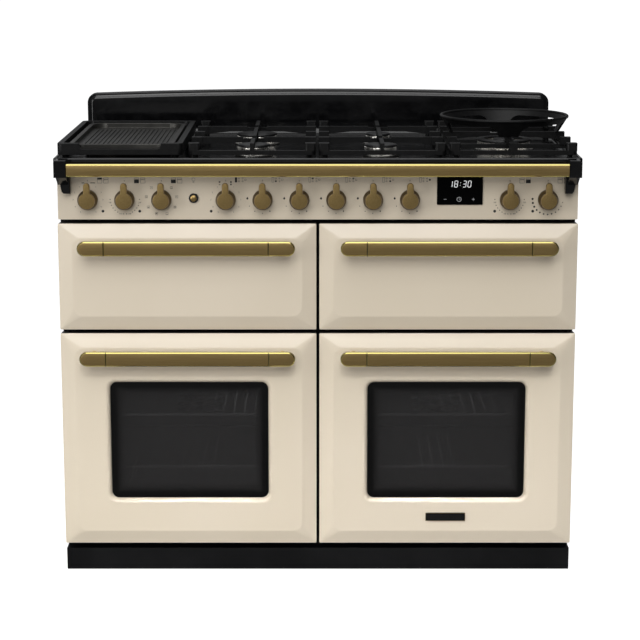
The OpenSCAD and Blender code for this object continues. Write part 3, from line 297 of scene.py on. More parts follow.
class Finish(Nodes):
    """A material's nodes: the methods name what the finishes share."""

    def __init__(self, name):
        self.material = bpy.data.materials.new(name)
        self.material.use_nodes = True
        super().__init__(self.material.node_tree)
        self.place = self.add("ShaderNodeTexCoord", output="Object")

    def stretched(self, x=1.0, y=1.0, z=1.0):
        """The object's coordinates with each axis scaled."""
        return self.add("ShaderNodeMapping", sockets={"Vector": self.place, "Scale": (x, y, z)})

    def noise(self, scale, detail=3.0, roughness=0.55, where=None):
        return self.add("ShaderNodeTexNoise", sockets={"Vector": where or self.place, "Scale": scale,
                                                       "Detail": detail, "Roughness": roughness})

    def cells(self, scale, output="Distance"):
        return self.add("ShaderNodeTexVoronoi", (), {"Vector": self.place, "Scale": scale}, output)

    def axes(self):
        """The object's x, y and z as three signals."""
        split = self.add("ShaderNodeSeparateXYZ", sockets={0: self.place}).socket.node
        return [Signal(self, out) for out in split.outputs]

    def mix(self, share, first, second):
        return self.add("ShaderNodeMix", {"data_type": "RGBA"}, {0: share, 6: first, 7: second}, 2)

    def bump(self, height, strength, depth):
        return self.add("ShaderNodeBump", {}, {"Height": height, "Strength": strength, "Distance": depth})

    def shown(self, shader):
        self.add("ShaderNodeOutputMaterial", sockets={"Surface": shader})
        return self.material

    def done(self, sockets):
        return self.shown(self.add("ShaderNodeBsdfPrincipled", sockets=sockets))


def cream_enamel(name="cream_enamel", gap_shade=False, share=1.0):
    """Gloss cream with a faint orange peel. Where the gap flag is set, a painted shade darkens it round a
    door's edge into the gap, and a share below 1 darkens it all as painted shade.
    """
    f = Finish(name)
    broad = f.noise(3.0, 2.0)
    peel = f.noise(260.0, 2.0)
    deep, pale = shaded(srgb(227, 214, 192), share), shaded(srgb(231, 218, 197), share)
    cream = f.mix(broad.ramp(0.3, 0.7), deep, pale)
    if gap_shade:
        # Painted shade: the cream turns near black from 0.8 to 2.4 mm behind a door's face, on its flanks in
        # the gaps
        depth = f.axes()[1].ramp(FRONT_Y + 0.8 * MM, FRONT_Y + 2.4 * MM)
        cream = f.mix(depth, cream, srgb(40, 36, 30))
    return f.done({"Base Color": cream,
                   "Roughness": peel.ramp(0.3, 0.7, 0.30, 0.36), "Specular IOR Level": 0.45,
                   "Coat Weight": 0.55, "Coat Roughness": 0.12,
                   "Normal": f.bump(peel, 0.12, 0.2 * MM)})


def black_enamel(name="black_enamel", roughness=0.12, level=0.45, shade=1.0):
    """Gloss black with a faint orange peel and a trace of dust."""
    f = Finish(name)
    peel = f.noise(220.0, 2.0)
    dust = f.noise(38.0, 5.0, 0.7)
    return f.done({"Base Color": f.mix(dust.ramp(0.4, 0.75), shaded(srgb(7, 7, 8), shade),
                                       shaded(srgb(13, 13, 14), shade)),
                   "Roughness": dust.ramp(0.35, 0.75, roughness, roughness + 0.08),
                   "Specular IOR Level": level,
                   "Normal": f.bump(peel, 0.08, 0.2 * MM)})


def brass(name="brass", along="x", dark=1.0):
    """Satin brass with fine lines along one axis and faint handling marks. Cut edges are polished and carry
    a painted highlight colour, and dark below 1 darkens it all as painted shade.
    """
    f = Finish(name)
    cut_highlight = f.add("ShaderNodeAttribute", {"attribute_name": "cut_edge_highlight"}, output="Fac")
    fine, coarse, cast = 2200.0, 12.0, 600.0
    scale = {"x": (coarse, fine, fine), "z": (fine, fine, coarse), "none": (cast, cast, cast)}[along]
    lines = f.noise(1.0, 3.0, 0.6, f.stretched(*scale))
    marks = f.noise(22.0, 4.0, 0.6)
    light, deep = shaded(srgb(171, 146, 96), dark), shaded(srgb(153, 129, 83), dark)
    satin = (lines * 0.10 + marks * 0.08).ramp(0.02, 0.16, 0.30, 0.40)
    # Painted highlight: cut edges take a pale yellow brass colour, and their polish gives them low roughness
    return f.done({"Base Color": f.mix(cut_highlight, f.mix(lines.ramp(0.25, 0.75), deep, light), srgb(216, 206, 130)),
                   "Metallic": 1.0, "Roughness": satin * (1.0 - cut_highlight) + cut_highlight * 0.16,
                   "Normal": f.bump(lines, 0.10, 0.05 * MM)})


def cast_iron():
    """Matt black enamel on a lumpy, grainy casting."""
    f = Finish("cast_iron")
    grain = f.noise(750.0, 3.0, 0.6)
    lumps = f.noise(120.0, 3.0, 0.5)
    return f.done({"Base Color": f.mix(lumps.ramp(0.3, 0.7), srgb(9, 9, 10), srgb(16, 16, 16)),
                   "Roughness": grain.ramp(0.3, 0.7, 0.36, 0.52), "Specular IOR Level": 0.2,
                   "Normal": f.bump(grain + lumps * 1.5, 0.35, 0.25 * MM)})


def griddle_alloy():
    """Dark metal ground along the ribs, with a few stains."""
    f = Finish("griddle_alloy")
    lines = f.noise(1.0, 4.0, 0.65, f.stretched(900.0, 14.0, 900.0))
    stain = f.noise(14.0, 4.0, 0.6)
    return f.done({"Base Color": f.mix(stain.ramp(0.35, 0.7), srgb(50, 49, 47), srgb(68, 67, 64)),
                   "Metallic": 0.8, "Roughness": lines.ramp(0.25, 0.75, 0.34, 0.50),
                   "Normal": f.bump(lines, 0.25, 0.1 * MM)})


def bright_metal(name, colour, low, high, bump=0.06):
    """Plain metal whose gloss wanders from low to high roughness."""
    f = Finish(name)
    grain = f.noise(500.0, 4.0, 0.6)
    broad = f.noise(18.0, 3.0, 0.5)
    return f.done({"Base Color": f.mix(broad.ramp(0.3, 0.7), shaded(colour, 0.8), colour), "Metallic": 1.0,
                   "Roughness": (grain * 0.5 + broad * 0.5).ramp(0.35, 0.65, low, high),
                   "Normal": f.bump(grain, bump, 0.05 * MM)})


def galvanised():
    """Zinc in spangles of slightly different greys."""
    f = Finish("galvanised_steel")
    spangle = f.cells(90.0, "Color")
    tone = f.add("ShaderNodeSeparateColor", sockets={0: spangle})
    grain = f.noise(300.0, 3.0)
    return f.done({"Base Color": f.mix(tone.ramp(0.0, 1.0), srgb(150, 153, 156), srgb(182, 184, 187)),
                   "Metallic": 1.0, "Roughness": tone.ramp(0.0, 1.0, 0.42, 0.56),
                   "Normal": f.bump(grain, 0.08, 0.05 * MM)})


def speckled_enamel(name, ground, fleck):
    """Glossy vitreous enamel with small pale flecks."""
    f = Finish(name)
    spots = f.cells(420.0).ramp(0.10, 0.18, 1.0, 0.0) * f.noise(90.0, 2.0).ramp(0.45, 0.6)
    peel = f.noise(180.0, 2.0)
    return f.done({"Base Color": f.mix(spots, ground, fleck), "Roughness": peel.ramp(0.3, 0.7, 0.18, 0.28),
                   "Specular IOR Level": 0.5, "Normal": f.bump(peel, 0.12, 0.2 * MM)})


def plain(name, colour, low, high, level=0.4, bump=0.1):
    """Moulded plastic, rubber or satin paint: one colour, a fine grain, and a gloss from low to high
    roughness."""
    f = Finish(name)
    grain = f.noise(300.0, 3.0, 0.6)
    broad = f.noise(9.0, 3.0)
    paler = tuple(min(1.0, c * 1.25 + 0.002) for c in colour[:3]) + (1.0,)
    return f.done({"Base Color": f.mix(broad.ramp(0.3, 0.7), colour, paler),
                   "Roughness": grain.ramp(0.3, 0.7, low, high), "Specular IOR Level": level,
                   "Normal": f.bump(grain, bump, 0.1 * MM)})


def window_glass():
    """Smoked glass whose printed border, from 8 to 34 mm inside the opening's edge, fades into the clear
    middle."""
    f = Finish("window_glass")
    x, _, z = f.axes()
    _, _, centre, half = measures("right_oven_door_glass")
    past_side = abs(abs(x) - centre.x) - (half.x - GLASS_LAP)
    past_end = abs(z - centre.z) - (half.z - GLASS_LAP)
    border = past_side.or_more(past_end).ramp(-34 * MM, -8 * MM)
    smears = f.noise(30.0, 3.0)
    return f.done({"Base Color": f.mix(border, srgb(52, 51, 51), srgb(3, 3, 3)),
                   "Alpha": border * 0.6 + 0.33 + smears * 0.04,
                   "Roughness": smears.ramp(0.3, 0.7, 0.03, 0.07), "Specular IOR Level": 0.25})


def lamp_glass():
    """Rippled, half clear glass."""
    f = Finish("lamp_glass")
    ripple = f.noise(160.0, 2.0)
    return f.done({"Base Color": srgb(225, 220, 205), "Alpha": ripple.ramp(0.3, 0.7, 0.45, 0.6),
                   "Roughness": 0.12, "Normal": f.bump(ripple, 0.3, 0.4 * MM)})


def ink(name, colour, glow=0.0):
    """A printed or lit mark, faintly worn."""
    f = Finish(name)
    wear = f.noise(400.0, 2.0)
    return f.done({"Base Color": f.mix(wear.ramp(0.3, 0.7), colour, shaded(colour, 0.85)),
                   "Roughness": wear.ramp(0.3, 0.7, 0.4, 0.5), "Emission Color": colour,
                   "Emission Strength": glow})


# Metals by colour, lowest and highest roughness and bump; plain ones also by specular level
METALS = {
    "gas_fittings": (srgb(190, 188, 184), 0.3, 0.5),
    "burner_alloy": (srgb(214, 211, 205), 0.2, 0.36, 0.12),
    "chrome_wire": (srgb(220, 220, 222), 0.08, 0.18, 0.02),
    "element_steel": (srgb(96, 92, 88), 0.4, 0.6),
    "motor_steel": (srgb(170, 170, 172), 0.25, 0.4),
    "foot_steel": (srgb(160, 160, 162), 0.3, 0.45),
}
PLAIN = {
    "plinth_black": (srgb(15, 15, 16), 0.42, 0.54, 0.12, 0.06),
    "switch_plastic": (srgb(24, 24, 25), 0.3, 0.42),
    "burner_cap_enamel": (srgb(20, 20, 21), 0.3, 0.42),
    "seal_rubber": (srgb(26, 26, 27), 0.6, 0.75),
}
FINISHES = {
    "cream_enamel": cream_enamel(),
    "black_enamel": black_enamel(),
    "galvanised_steel": galvanised(),
    "oven_enamel": speckled_enamel("oven_enamel", srgb(44, 44, 47), srgb(120, 120, 124)),
    "liner_enamel": speckled_enamel("liner_enamel", srgb(38, 38, 40), srgb(100, 100, 104)),
    "brass": brass(),
    # Brass at 0.35 of its light as painted shade, for the knobs' skirts
    "brass_shade": brass("brass_shade", "none", 0.35),
    "window_glass": window_glass(),
    "clock_glass": black_enamel("clock_glass", 0.05, 0.06, 0.3),
    "badge_black": black_enamel("badge_black", 0.2, 0.4),
    "cast_iron": cast_iron(),
    "griddle_alloy": griddle_alloy(),
    "lamp_glass": lamp_glass(),
    **{name: bright_metal(name, *look) for name, look in METALS.items()},
    **{name: plain(name, *look) for name, look in PLAIN.items()},
}
# The doors' enamel, with painted shade on its flanks in the gaps
DOOR_ENAMEL_GAP_SHADE = cream_enamel("door_enamel_gap_shade", True)
# Painted shade: the fascia's cream at 0.86 of its light
FASCIA_ENAMEL_PAINTED_SHADE = cream_enamel("fascia_enamel_painted_shade", share=0.86)
PRINT_BLACK = ink("print_black", srgb(8, 8, 8))
PRINT_GREY = ink("print_grey", srgb(62, 58, 52))
CLOCK_LIGHT = ink("clock_light", srgb(225, 228, 230), 0.9)
CLOCK_KEYS = ink("clock_keys", srgb(150, 152, 154), 0.35)
BRASS_FACE = brass("brass_face", "none")

# The fascia's enamel is darkened as painted shade under the handrail, and the frame is given plain black as
# painted shade in the doors' gaps
PAINTED_SHADE_FINISH = {"control_fascia": FASCIA_ENAMEL_PAINTED_SHADE, "chassis": FINISHES["plinth_black"]}
for node, part in frame["nodes"].items():
    part.data.materials.clear()
    part.data.materials.append(PAINTED_SHADE_FINISH.get(node) or FINISHES[SLOT_OF[node]])


# Doors

SKIN = 1.6 * MM
FLANGE = 10 * MM
DOOR_EDGE = 1.5 * MM
DOOR_R = 2.5 * MM
FLANGE_R = 1.5 * MM
FLANGE_STEP = 0.5 * MM
FIELD_SLOPE = 28.5 * MM
FIELD_R = 20 * MM
CREASE = 2.2 * MM
WINDOW_R = 15 * MM
WINDOW_R_GAIN = 0.6
LIP = 9 * MM
LIP_DEPTH = 12 * MM
LIP_MARGIN = 2 * MM


def door_form(door, window):
    """A pressed door skin: rings of rounded rectangles run from the rear flange round the edge, up a flat
    sloping band to the raised field and, on a window door, down the lip, a quarter ellipse, and back inside.
    Across the crease, from -CREASE to CREASE about its line, the slope gives way to the field along a
    parabola."""
    _, high, mid, half = measures(door + "_panel")
    rear = high.y
    grade = FIELD_RISE / FIELD_SLOPE
    field_y = FRONT_Y - FIELD_RISE

    def ring(inset, y, r):
        return upright(rounded(half.x - inset, half.z - inset, r), mid.x, mid.z, y)

    def band(past, offset=0.0):
        """A ring at a distance past the crease's line, or before it where that is negative."""
        drop = grade * (CREASE - past) ** 2 / (4 * CREASE) if abs(past) < CREASE else max(0.0, -grade * past)
        r = DOOR_R + (FIELD_R - DOOR_R) * (1 + past / FIELD_SLOPE) if past < 0 else FIELD_R - past
        return ring(DOOR_EDGE + FIELD_SLOPE + past + offset / 2, field_y + drop + offset, r)

    inner = [ring(inset, y, FLANGE_R) for inset, y in (
        (SKIN, FRONT_Y + SKIN), (SKIN, rear - SKIN), (FLANGE, rear - SKIN), (FLANGE, rear))]
    inner.append(ring(FLANGE_STEP, rear, DOOR_R))
    outer = [ring(inset, FRONT_Y + depth, DOOR_R) for inset, depth in edge_round(DOOR_EDGE)]
    outer += [band(share * FIELD_SLOPE) for share in (-0.95, -0.5)]
    outer += [band(past) for past in [*np.linspace(-CREASE, CREASE, 9), 2 * CREASE]]
    back = [band(0.0, SKIN), band(-FIELD_SLOPE, SKIN)]
    if not window:
        return [loft(back + inner + outer)]
    _, _, pane_mid, pane_half = measures(door + "_glass")

    def pane(outset, depth):
        outline = rounded(pane_half.x - GLASS_LAP + outset, pane_half.z - GLASS_LAP + outset,
                          WINDOW_R + WINDOW_R_GAIN * outset)
        return upright(outline, pane_mid.x, pane_mid.z, field_y + depth)

    lip = [pane(LIP + LIP_MARGIN, 0)]
    lip += [pane(LIP * (1 - math.sin(a)), LIP_DEPTH * (1 - math.cos(a)))
            for a in np.linspace(0, math.pi / 2, 10)]
    lip += [pane(SKIN, LIP_DEPTH), pane(LIP + SKIN, SKIN)]
    return [loft(back + inner + outer + lip, closed=True)]


for door in DOORS:
    stand_in(door + "_panel", door_form(door, "oven" in door), DOOR_ENAMEL_GAP_SHADE, 40)


# Door handles: a bar and two round ends with chamfered faces, on turned posts

END_LENGTH = 55 * MM
POST_R, POST_FOOT_R = 8 * MM, 10 * MM
POST_SINK = 7 * MM
HANDLE_CHAMFER = 2.8 * MM
HANDLE_CROWN = 3.6 * MM
HANDLE_T = 10 * MM
HANDLE_SEAM = 0.2 * MM
BACK_SOFT = 0.8 * MM
SEAM_SHARE = 0.35


def faced(outline_at, x, z, front, back):
    """A bar seen from the front: outline_at(inset) chamfered at the front and softened at the back."""
    course = [(inset, back - depth) for inset, depth in reversed(edge_round(BACK_SOFT, 2))]
    course += [(inset, front + depth) for inset, depth in chamfered(HANDLE_CHAMFER)]
    return loft([upright(outline_at(inset), x, z, y) for inset, y in course])


def bar_outline(half_l, half_h, inset):
    """A handle's bar seen from the front. At the seams it draws in by a share of the inset."""
    corners = np.array([(1, 1), (-1, 1), (-1, -1), (1, -1)])
    return corners * (half_l - SEAM_SHARE * inset, half_h - inset)


def end_outline(side, half_h, inset, arc=16):
    """A handle's end seen from the front: straight at the seam with the bar, then half a circle."""
    r, seam = half_h - inset, inset * SEAM_SHARE
    tip = polar(r, np.linspace(-math.pi / 2, math.pi / 2, arc + 1)) + (END_LENGTH - half_h, 0)
    return np.concatenate([[(seam, -r)], tip, [(seam, r)]])[::side] * (side, 1)


for door in DOORS:
    low, high, mid, half = measures(door + "_handle")
    z, half_h = mid.z + HANDLE_CROWN / 2, half.z + HANDLE_CROWN / 2
    front, back = low.y, low.y + HANDLE_T
    seam_x = half.x - END_LENGTH
    post = [(POST_R, front + POST_SINK), (POST_R, high.y - 2 * MM), (POST_FOOT_R, high.y - 1.2 * MM),
            (POST_FOOT_R, high.y)]
    solids = [faced(lambda inset: bar_outline(seam_x - HANDLE_SEAM, half_h, inset), mid.x, z, front, back)]
    for side in (-1, 1):
        end_x, post_x = mid.x + side * seam_x, mid.x + side * (half.x - END_LENGTH / 2)
        solids += [faced(lambda inset: end_outline(side, half_h, inset), end_x, z, front, back),
                   spun(post, post_x, 0, z, 32, "y")]
    stand_in(door + "_handle", solids, FINISHES["brass"], 28, True)


# Handrail: one profile from end to end

RAIL_LIFT = 1.4 * MM
RAIL_CHAMFER = 2.8 * MM
RAIL_SOFT = 0.5 * MM

low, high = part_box("handrail")
top = high.z + RAIL_LIFT
profile = [(high.y - RAIL_SOFT, low.z), (high.y, low.z + RAIL_SOFT), (high.y, top - RAIL_SOFT),
           (high.y - RAIL_SOFT, top)]
profile += [(low.y + inset, top - depth) for depth, inset in chamfered(RAIL_CHAMFER)]
profile += [(low.y + depth, low.z + inset) for depth, inset in chamfered(RAIL_CHAMFER)]
rail = loft([sideways(np.array(profile), x) for x in (low.x, high.x)])
stand_in("handrail", [rail], FINISHES["brass"], 25, True)


# Handrail brackets

RAIL_GAP = 0.3 * MM
HEAD_DROP = 2 * MM
LEG_LAP = 14 * MM
LEG_T = 18 * MM
LEG_FLANGE = 4 * MM
LEG_STEP = 3 * MM
LEG_TAPER = 9 * MM
LEG_CORNER = 4 * MM
BRACKET_SOFT = 1.2 * MM
CHIN_SOFT = 0.8 * MM
CHIN_IN = 1 * MM


def bracket(side):
    """Three solids: a head beside the rail's end, a sloping chin under it, and a tapered leg on the fascia.
    The side is 1 for the right bracket and -1 for the left one."""
    low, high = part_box("handrail_brackets")
    rail_low, rail_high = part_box("handrail")
    inner, outer = rail_high.x + RAIL_GAP, high.x - LEG_STEP
    head_z = rail_low.z - HEAD_DROP
    leg_y, leg_in, leg_top = FASCIA_Y - LEG_T, inner - LEG_FLANGE, head_z + LEG_LAP

    def from_front(outline, y):
        return upright(outline * (side, 1), 0, 0, y)

    def from_side(outline, x):
        return sideways(outline, side * x)

    head = [(inner, head_z), (high.x, head_z), (high.x, high.z - LEG_CORNER),
            (high.x - LEG_CORNER, high.z), (inner, high.z)]
    leg = [(leg_in, low.z), (outer - LEG_TAPER - LEG_CORNER, low.z),
           (outer - LEG_TAPER, low.z + LEG_CORNER), (outer, leg_top), (leg_in, leg_top)]
    chin = [(low.y + CHIN_IN, head_z + CHIN_IN), (leg_y, head_z - LEG_T), (FASCIA_Y, head_z - LEG_T),
            (FASCIA_Y, head_z + CHIN_IN)]
    return [prism(head, from_front, low.y, FASCIA_Y, BRACKET_SOFT),
            prism(leg, from_front, leg_y, FASCIA_Y, BRACKET_SOFT),
            prism(chin, from_side, inner + CHIN_IN / 2, outer - CHIN_IN, CHIN_SOFT)]


stand_in("handrail_brackets", bracket(-1) + bracket(1), FINISHES["black_enamel"], 30)


# Control knobs: a turned skirt in brass darkened as painted shade, and a flat face with a pointer

KNOB_R = 20.75 * MM
FACE_R = 16.25 * MM
POINTER_HALF = 6.2 * MM
POINTER_DRAFT = 0.9 * MM
POINTER_REACH = 36.6 * MM
KNOB_FACE = 5 * MM
FACE_SOFT = 0.6 * MM
KNOB_GAP = 0.3 * MM
SPINDLE_R = 4 * MM
SPINDLE_LENGTH = 28 * MM


def keyhole(inset):
    """A round face with a pointer: a half circle at the pointer's tip, two straight sides, and the rest of
    the face's circle from where the sides meet it."""
    r, half = FACE_R - inset, POINTER_HALF - inset
    tip = np.linspace(0, math.pi, 13)
    tip_z = POINTER_REACH - POINTER_HALF
    meet = math.asin(half / r)
    rest = np.linspace(math.pi / 2 + meet, 2.5 * math.pi - meet, 49)
    return np.concatenate([polar(half, tip) + (0, tip_z), polar(r, rest)])


for node in ELECTRIC_KNOBS + GAS_KNOBS:
    low, _, mid, _ = measures(node)
    x, z = mid.x, low.z + KNOB_R
    skirt_y = FASCIA_Y - KNOB_GAP
    shoulder = low.y + KNOB_FACE - skirt_y
    skirt = [(0.0, 0.0), (KNOB_R - 0.6 * MM, 0.0), (KNOB_R, -0.6 * MM), (KNOB_R, -12.2 * MM),
             (KNOB_R - 0.25 * MM, -12.9 * MM), (KNOB_R - 0.8 * MM, -13.4 * MM),
             (FACE_R + 0.5 * MM, shoulder + 1.0 * MM), (FACE_R, shoulder + 0.2 * MM),
             (FACE_R - 0.5 * MM, shoulder - 1 * MM), (0.0, shoulder - 1 * MM)]
    spindle = [(0.0, 0.0), (SPINDLE_R, 0.0), (SPINDLE_R, SPINDLE_LENGTH), (0.0, SPINDLE_LENGTH)]
    turned = [spun(skirt, x, skirt_y, z, 72, "y"), spun(spindle, x, skirt_y, z, 24, "y")]
    # The skirt and spindle take the brass darkened as painted shade
    stand_in(node, turned, FINISHES["brass_shade"], 30)
    course = [(-POINTER_DRAFT, 7 * MM), (-POINTER_DRAFT, 5.5 * MM), (-0.15 * MM, 1.0 * MM)]
    course += edge_round(FACE_SOFT)
    face = loft([upright(keyhole(inset), x, z, low.y + depth) for inset, depth in course])
    piece(node + "_face", [face], BRASS_FACE, BODY_OF[node], sharp=30)


# Printed marks on the fascia. Tables of marks are in millimetres from a knob's middle

PRINT_T = 0.12 * MM
PRINT_SEAT = 0.02 * MM
PRINT_LINE = 0.55 * MM
TEXT_SIZE = 1.4
NUMBER_R, NUMBER_H = 31 * MM, 3 * MM
HEAT_R, HEAT_H, HEAT_STEP = 31.5 * MM, 2.8 * MM, 12
HEAT_NUMBERS = {1: "100", 6: "150", 9: "200", 14: "250"}
KNOB_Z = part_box("grill_knob")[0].z + KNOB_R
ZERO_UP = 39 * MM
OVEN_MAP_W = 10
OVEN_MAP_COLUMNS = (25, 38)
OVEN_MAP_ROWS = ((43.6, 3.4), (37.6, 7.4))
HOB_MAP_GRIDDLE = (21.6, 41, 4.6, 10.5)
HOB_MAP_RINGS = [(27.7, 38, 3.2), (27.7, 43.8, 3.2), (35.3, 43.8, 3.2), (35.3, 38, 3.2), (41.0, 41, 4.4)]
HOB_MAP_DOT = 4


def on_front(outline, x, z, y):
    """A thin printed shape that stands on a front face."""
    return loft([upright(outline, x, z, y + PRINT_SEAT), upright(outline, x, z, y - PRINT_T)])


def dot(x, z, d, y=FASCIA_Y):
    return on_front(circle(d / 2, 20), x, z, y)


def bar(x, z, w, h, y=FASCIA_Y):
    return on_front(np.array([(w / 2, h / 2), (-w / 2, h / 2), (-w / 2, -h / 2), (w / 2, -h / 2)]), x, z, y)


def frame_lines(x, z, w, h, line=PRINT_LINE, y=FASCIA_Y):
    """A rectangle drawn with four bars."""
    return ([bar(x, z + s * (h - line) / 2, w, line, y) for s in (-1, 1)]
            + [bar(x + s * (w - line) / 2, z, line, h - 2 * line, y) for s in (-1, 1)])


def ring_mark(x, z, d, line, y=FASCIA_Y):
    """A flat ring, as circles lofted round a square section."""
    sections = [(d / 2, y), (d / 2, y - PRINT_T), (d / 2 - line, y - PRINT_T), (d / 2 - line, y)]
    return loft([upright(circle(r, 28), x, z, depth) for r, depth in sections], closed=True)


def flame(x, z, h):
    """A drop. At a share t of its height h, each half is 0.36 h sin(pi t^0.62) (1 - 0.35 t) wide, bent by a
    bow of 0.1 h t (1 - t) on the right and a wave of 0.06 h sin(3 pi t) on the left."""
    t = np.linspace(0, 1, 9)
    width = 0.36 * h * np.sin(math.pi * t ** 0.62) * (1 - 0.35 * t)
    right = np.stack([width + 0.10 * h * t * (1 - t), (t - 0.5) * h], 1)
    left = np.stack([-width + 0.06 * h * np.sin(3 * math.pi * t), (t - 0.5) * h], 1)
    return on_front(np.concatenate([right, left[-2:0:-1]]), x, z, FASCIA_Y)


def words(text, x, z, h):
    """Digits as thin solids, centred on x and z."""
    curve = bpy.data.curves.new("digits", "FONT")
    curve.body, curve.size = text, h * TEXT_SIZE
    curve.align_x, curve.align_y = "CENTER", "CENTER"
    curve.extrude, curve.resolution_u = PRINT_T / 2, 3
    holder = placed("digits", curve)
    bpy.context.view_layer.update()
    mesh = holder.evaluated_get(bpy.context.evaluated_depsgraph_get()).to_mesh()
    co = np.array([v.co for v in mesh.vertices]).reshape(-1, 3)
    faces = [list(p.vertices) for p in mesh.polygons]
    bpy.data.objects.remove(holder)
    bpy.data.curves.remove(curve)
    return np.stack([x + co[:, 0], FASCIA_Y - PRINT_T / 2 - co[:, 2], z + co[:, 1]], 1), faces


def around(x, r, degrees):
    """A point at radius r round a knob, its angle counted clockwise from the top."""
    a = math.radians(degrees)
    return x + r * math.sin(a), KNOB_Z + r * math.cos(a)


def from_table(shape, x, table):
    """Dots, bars, flames or frames at a knob, from rows of right, up and sizes in millimetres."""
    return [shape(x + right, KNOB_Z + up, *sizes)
            for right, up, *sizes in (np.array(row) * MM for row in table)]


def oven_map(x, filled):
    """Four small boxes for the four ovens: two low ones over two tall ones, one of them filled."""
    black, grey = [], []
    for column, right in enumerate(OVEN_MAP_COLUMNS):
        for row, (up, h) in enumerate(OVEN_MAP_ROWS):
            box = [(right, up, OVEN_MAP_W, h)]
            if (column, row) == filled:
                black += from_table(bar, x, box)
            else:
                grey += from_table(frame_lines, x, box)[0]
    return black, grey


def hob_map(x, filled):
    """The hob from above: a box for the griddle, four small rings and a larger ring, with one filled."""
    black, grey = [], []
    if filled == "griddle":
        black += from_table(bar, x, [HOB_MAP_GRIDDLE])
    else:
        grey += from_table(frame_lines, x, [HOB_MAP_GRIDDLE])[0]
    for i, (right, up, d) in enumerate(HOB_MAP_RINGS):
        if i == filled:
            black += from_table(dot, x, [(right, up, HOB_MAP_DOT)])
        else:
            grey += from_table(ring_mark, x, [(right, up, d, 0.6)])
    return black, grey


def number_ring(x, digits, start, step):
    """Digits evenly round a knob, clockwise from start degrees."""
    return [words(digit, *around(x, NUMBER_R, start + i * step), NUMBER_H) for i, digit in enumerate(digits)]


def heat_scale(x):
    """Temperatures round a knob's lower half: four even marks are numbers and the rest are dots."""
    return [words(HEAT_NUMBERS[i], *around(x, HEAT_R, 270 - i * HEAT_STEP), HEAT_H) if i in HEAT_NUMBERS
            else dot(*around(x, HEAT_R - 1 * MM, 270 - i * HEAT_STEP), 2.0 * MM) for i in range(16)]


knob_x = {node: middle(node).x for node in ELECTRIC_KNOBS + GAS_KNOBS}
black = [words("0", x, KNOB_Z + ZERO_UP, 3.2 * MM) for x in knob_x.values()]
grey = []
maps = [oven_map(knob_x[node], filled) for node, filled in (
    ("grill_knob", (0, 0)), ("left_oven_heat_knob", (0, 1)), ("left_oven_function_knob", (0, 1)),
    ("right_oven_heat_knob", (1, 1)), ("right_top_oven_knob", (1, 0)))]
maps.append(hob_map(knob_x["griddle_knob"], "griddle"))
maps += [hob_map(knob_x[node], i) for i, node in enumerate(GAS_KNOBS)]
for some_black, some_grey in maps:
    black += some_black
    grey += some_grey
for node in ("grill_knob", "griddle_knob"):
    black += number_ring(knob_x[node], "12345", 33, 29) + number_ring(knob_x[node], "12345", -33, -29)
black += from_table(bar, knob_x["grill_knob"], [(10.5, 34.5, 10, 1.4), (-9.5, 34.5, 6, 1.4)])
black += from_table(bar, knob_x["griddle_knob"],
                    [(-12.5, 36.5, 3.3, 3.3), (11, 36.5, 3.3, 3.0), (11, 31.3, 3.3, 3.0)])
grey += from_table(bar, knob_x["griddle_knob"], [(-12.5, 31, 3.3, 1.6)])
for node in ("left_oven_heat_knob", "right_oven_heat_knob"):
    black += heat_scale(knob_x[node])
for node, side in (("grill_knob", 1), ("left_oven_heat_knob", 1), ("griddle_knob", -1),
                   ("right_oven_heat_knob", -1), ("right_top_oven_knob", -1)):
    black += from_table(dot, knob_x[node], [(side * 30.6, -24.6, 5.8)])

# The top oven's scale is a row of shrinking dots, and the left oven's has a small picture for each function
black += [dot(*around(knob_x["right_top_oven_knob"], HEAT_R, 272 - i * 15.5), (4.6 - 0.24 * i) * MM)
          for i in range(12)]
for i in range(8):
    x, z = around(knob_x["left_oven_function_knob"], 32 * MM, 40 + i * 40)
    grey += frame_lines(x, z, 5.4 * MM, 5.2 * MM, 0.5 * MM)
    if i % 2 == 0:
        black.append(bar(x, z + 1.2 * MM, 3.2 * MM, 0.7 * MM))
    if i % 3 != 1:
        black.append(bar(x, z - 1.2 * MM, 3.2 * MM, 0.7 * MM))
    if i % 3 != 0:
        black.append(dot(x, z, 1.5 * MM))
for node in GAS_KNOBS:
    black += from_table(flame, knob_x[node], [(-31.6, 2.8, 6.4), (15, -24.4, 3.8)])
    black += from_table(dot, knob_x[node], [(-27.5, -14, 1.9), (-16.3, -24.8, 1.9), (-0.4, -29, 1.9)])
button = middle("light_button")
grey.append(ring_mark(button.x, button.z + 39 * MM, 7 * MM, 0.5 * MM))
grey += frame_lines(button.x, button.z + 33.6 * MM, 3 * MM, 3 * MM)
piece("fascia_print", black, PRINT_BLACK, "cooker")
piece("fascia_fine_print", grey, PRINT_GREY, "cooker")


# The bare nameplate's rim

low, _, mid, half = measures("badge_plate")
rim = frame_lines(mid.x, mid.z, 2 * half.x, 2 * half.z, 0.9 * MM, low.y)
piece("badge_rim", rim, BRASS_FACE, "right_oven_door")


# Clock digits and touch keys. Tables are in millimetres from the display's corner

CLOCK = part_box("clock_display")[0]
DIGIT_Z = CLOCK.z + 43.5 * MM
KEY_Z = CLOCK.z + 11.5 * MM
DIGIT_W, DIGIT_H, DIGIT_LINE = 6.2 * MM, 12.8 * MM, 1.1 * MM
DIGIT_LEAN = 0.12
SEGMENT_GAP = 0.3
SEGMENTS = {"0": "abcdef", "1": "bc", "3": "abcdg", "8": "abcdefg"}
SEGMENT_ENDS = {"a": ((-1, 1), (1, 1)), "b": ((1, 1), (1, 0)), "c": ((1, 0), (1, -1)),
                "d": ((-1, -1), (1, -1)), "e": ((-1, 0), (-1, -1)), "f": ((-1, 1), (-1, 0)),
                "g": ((-1, 0), (1, 0))}


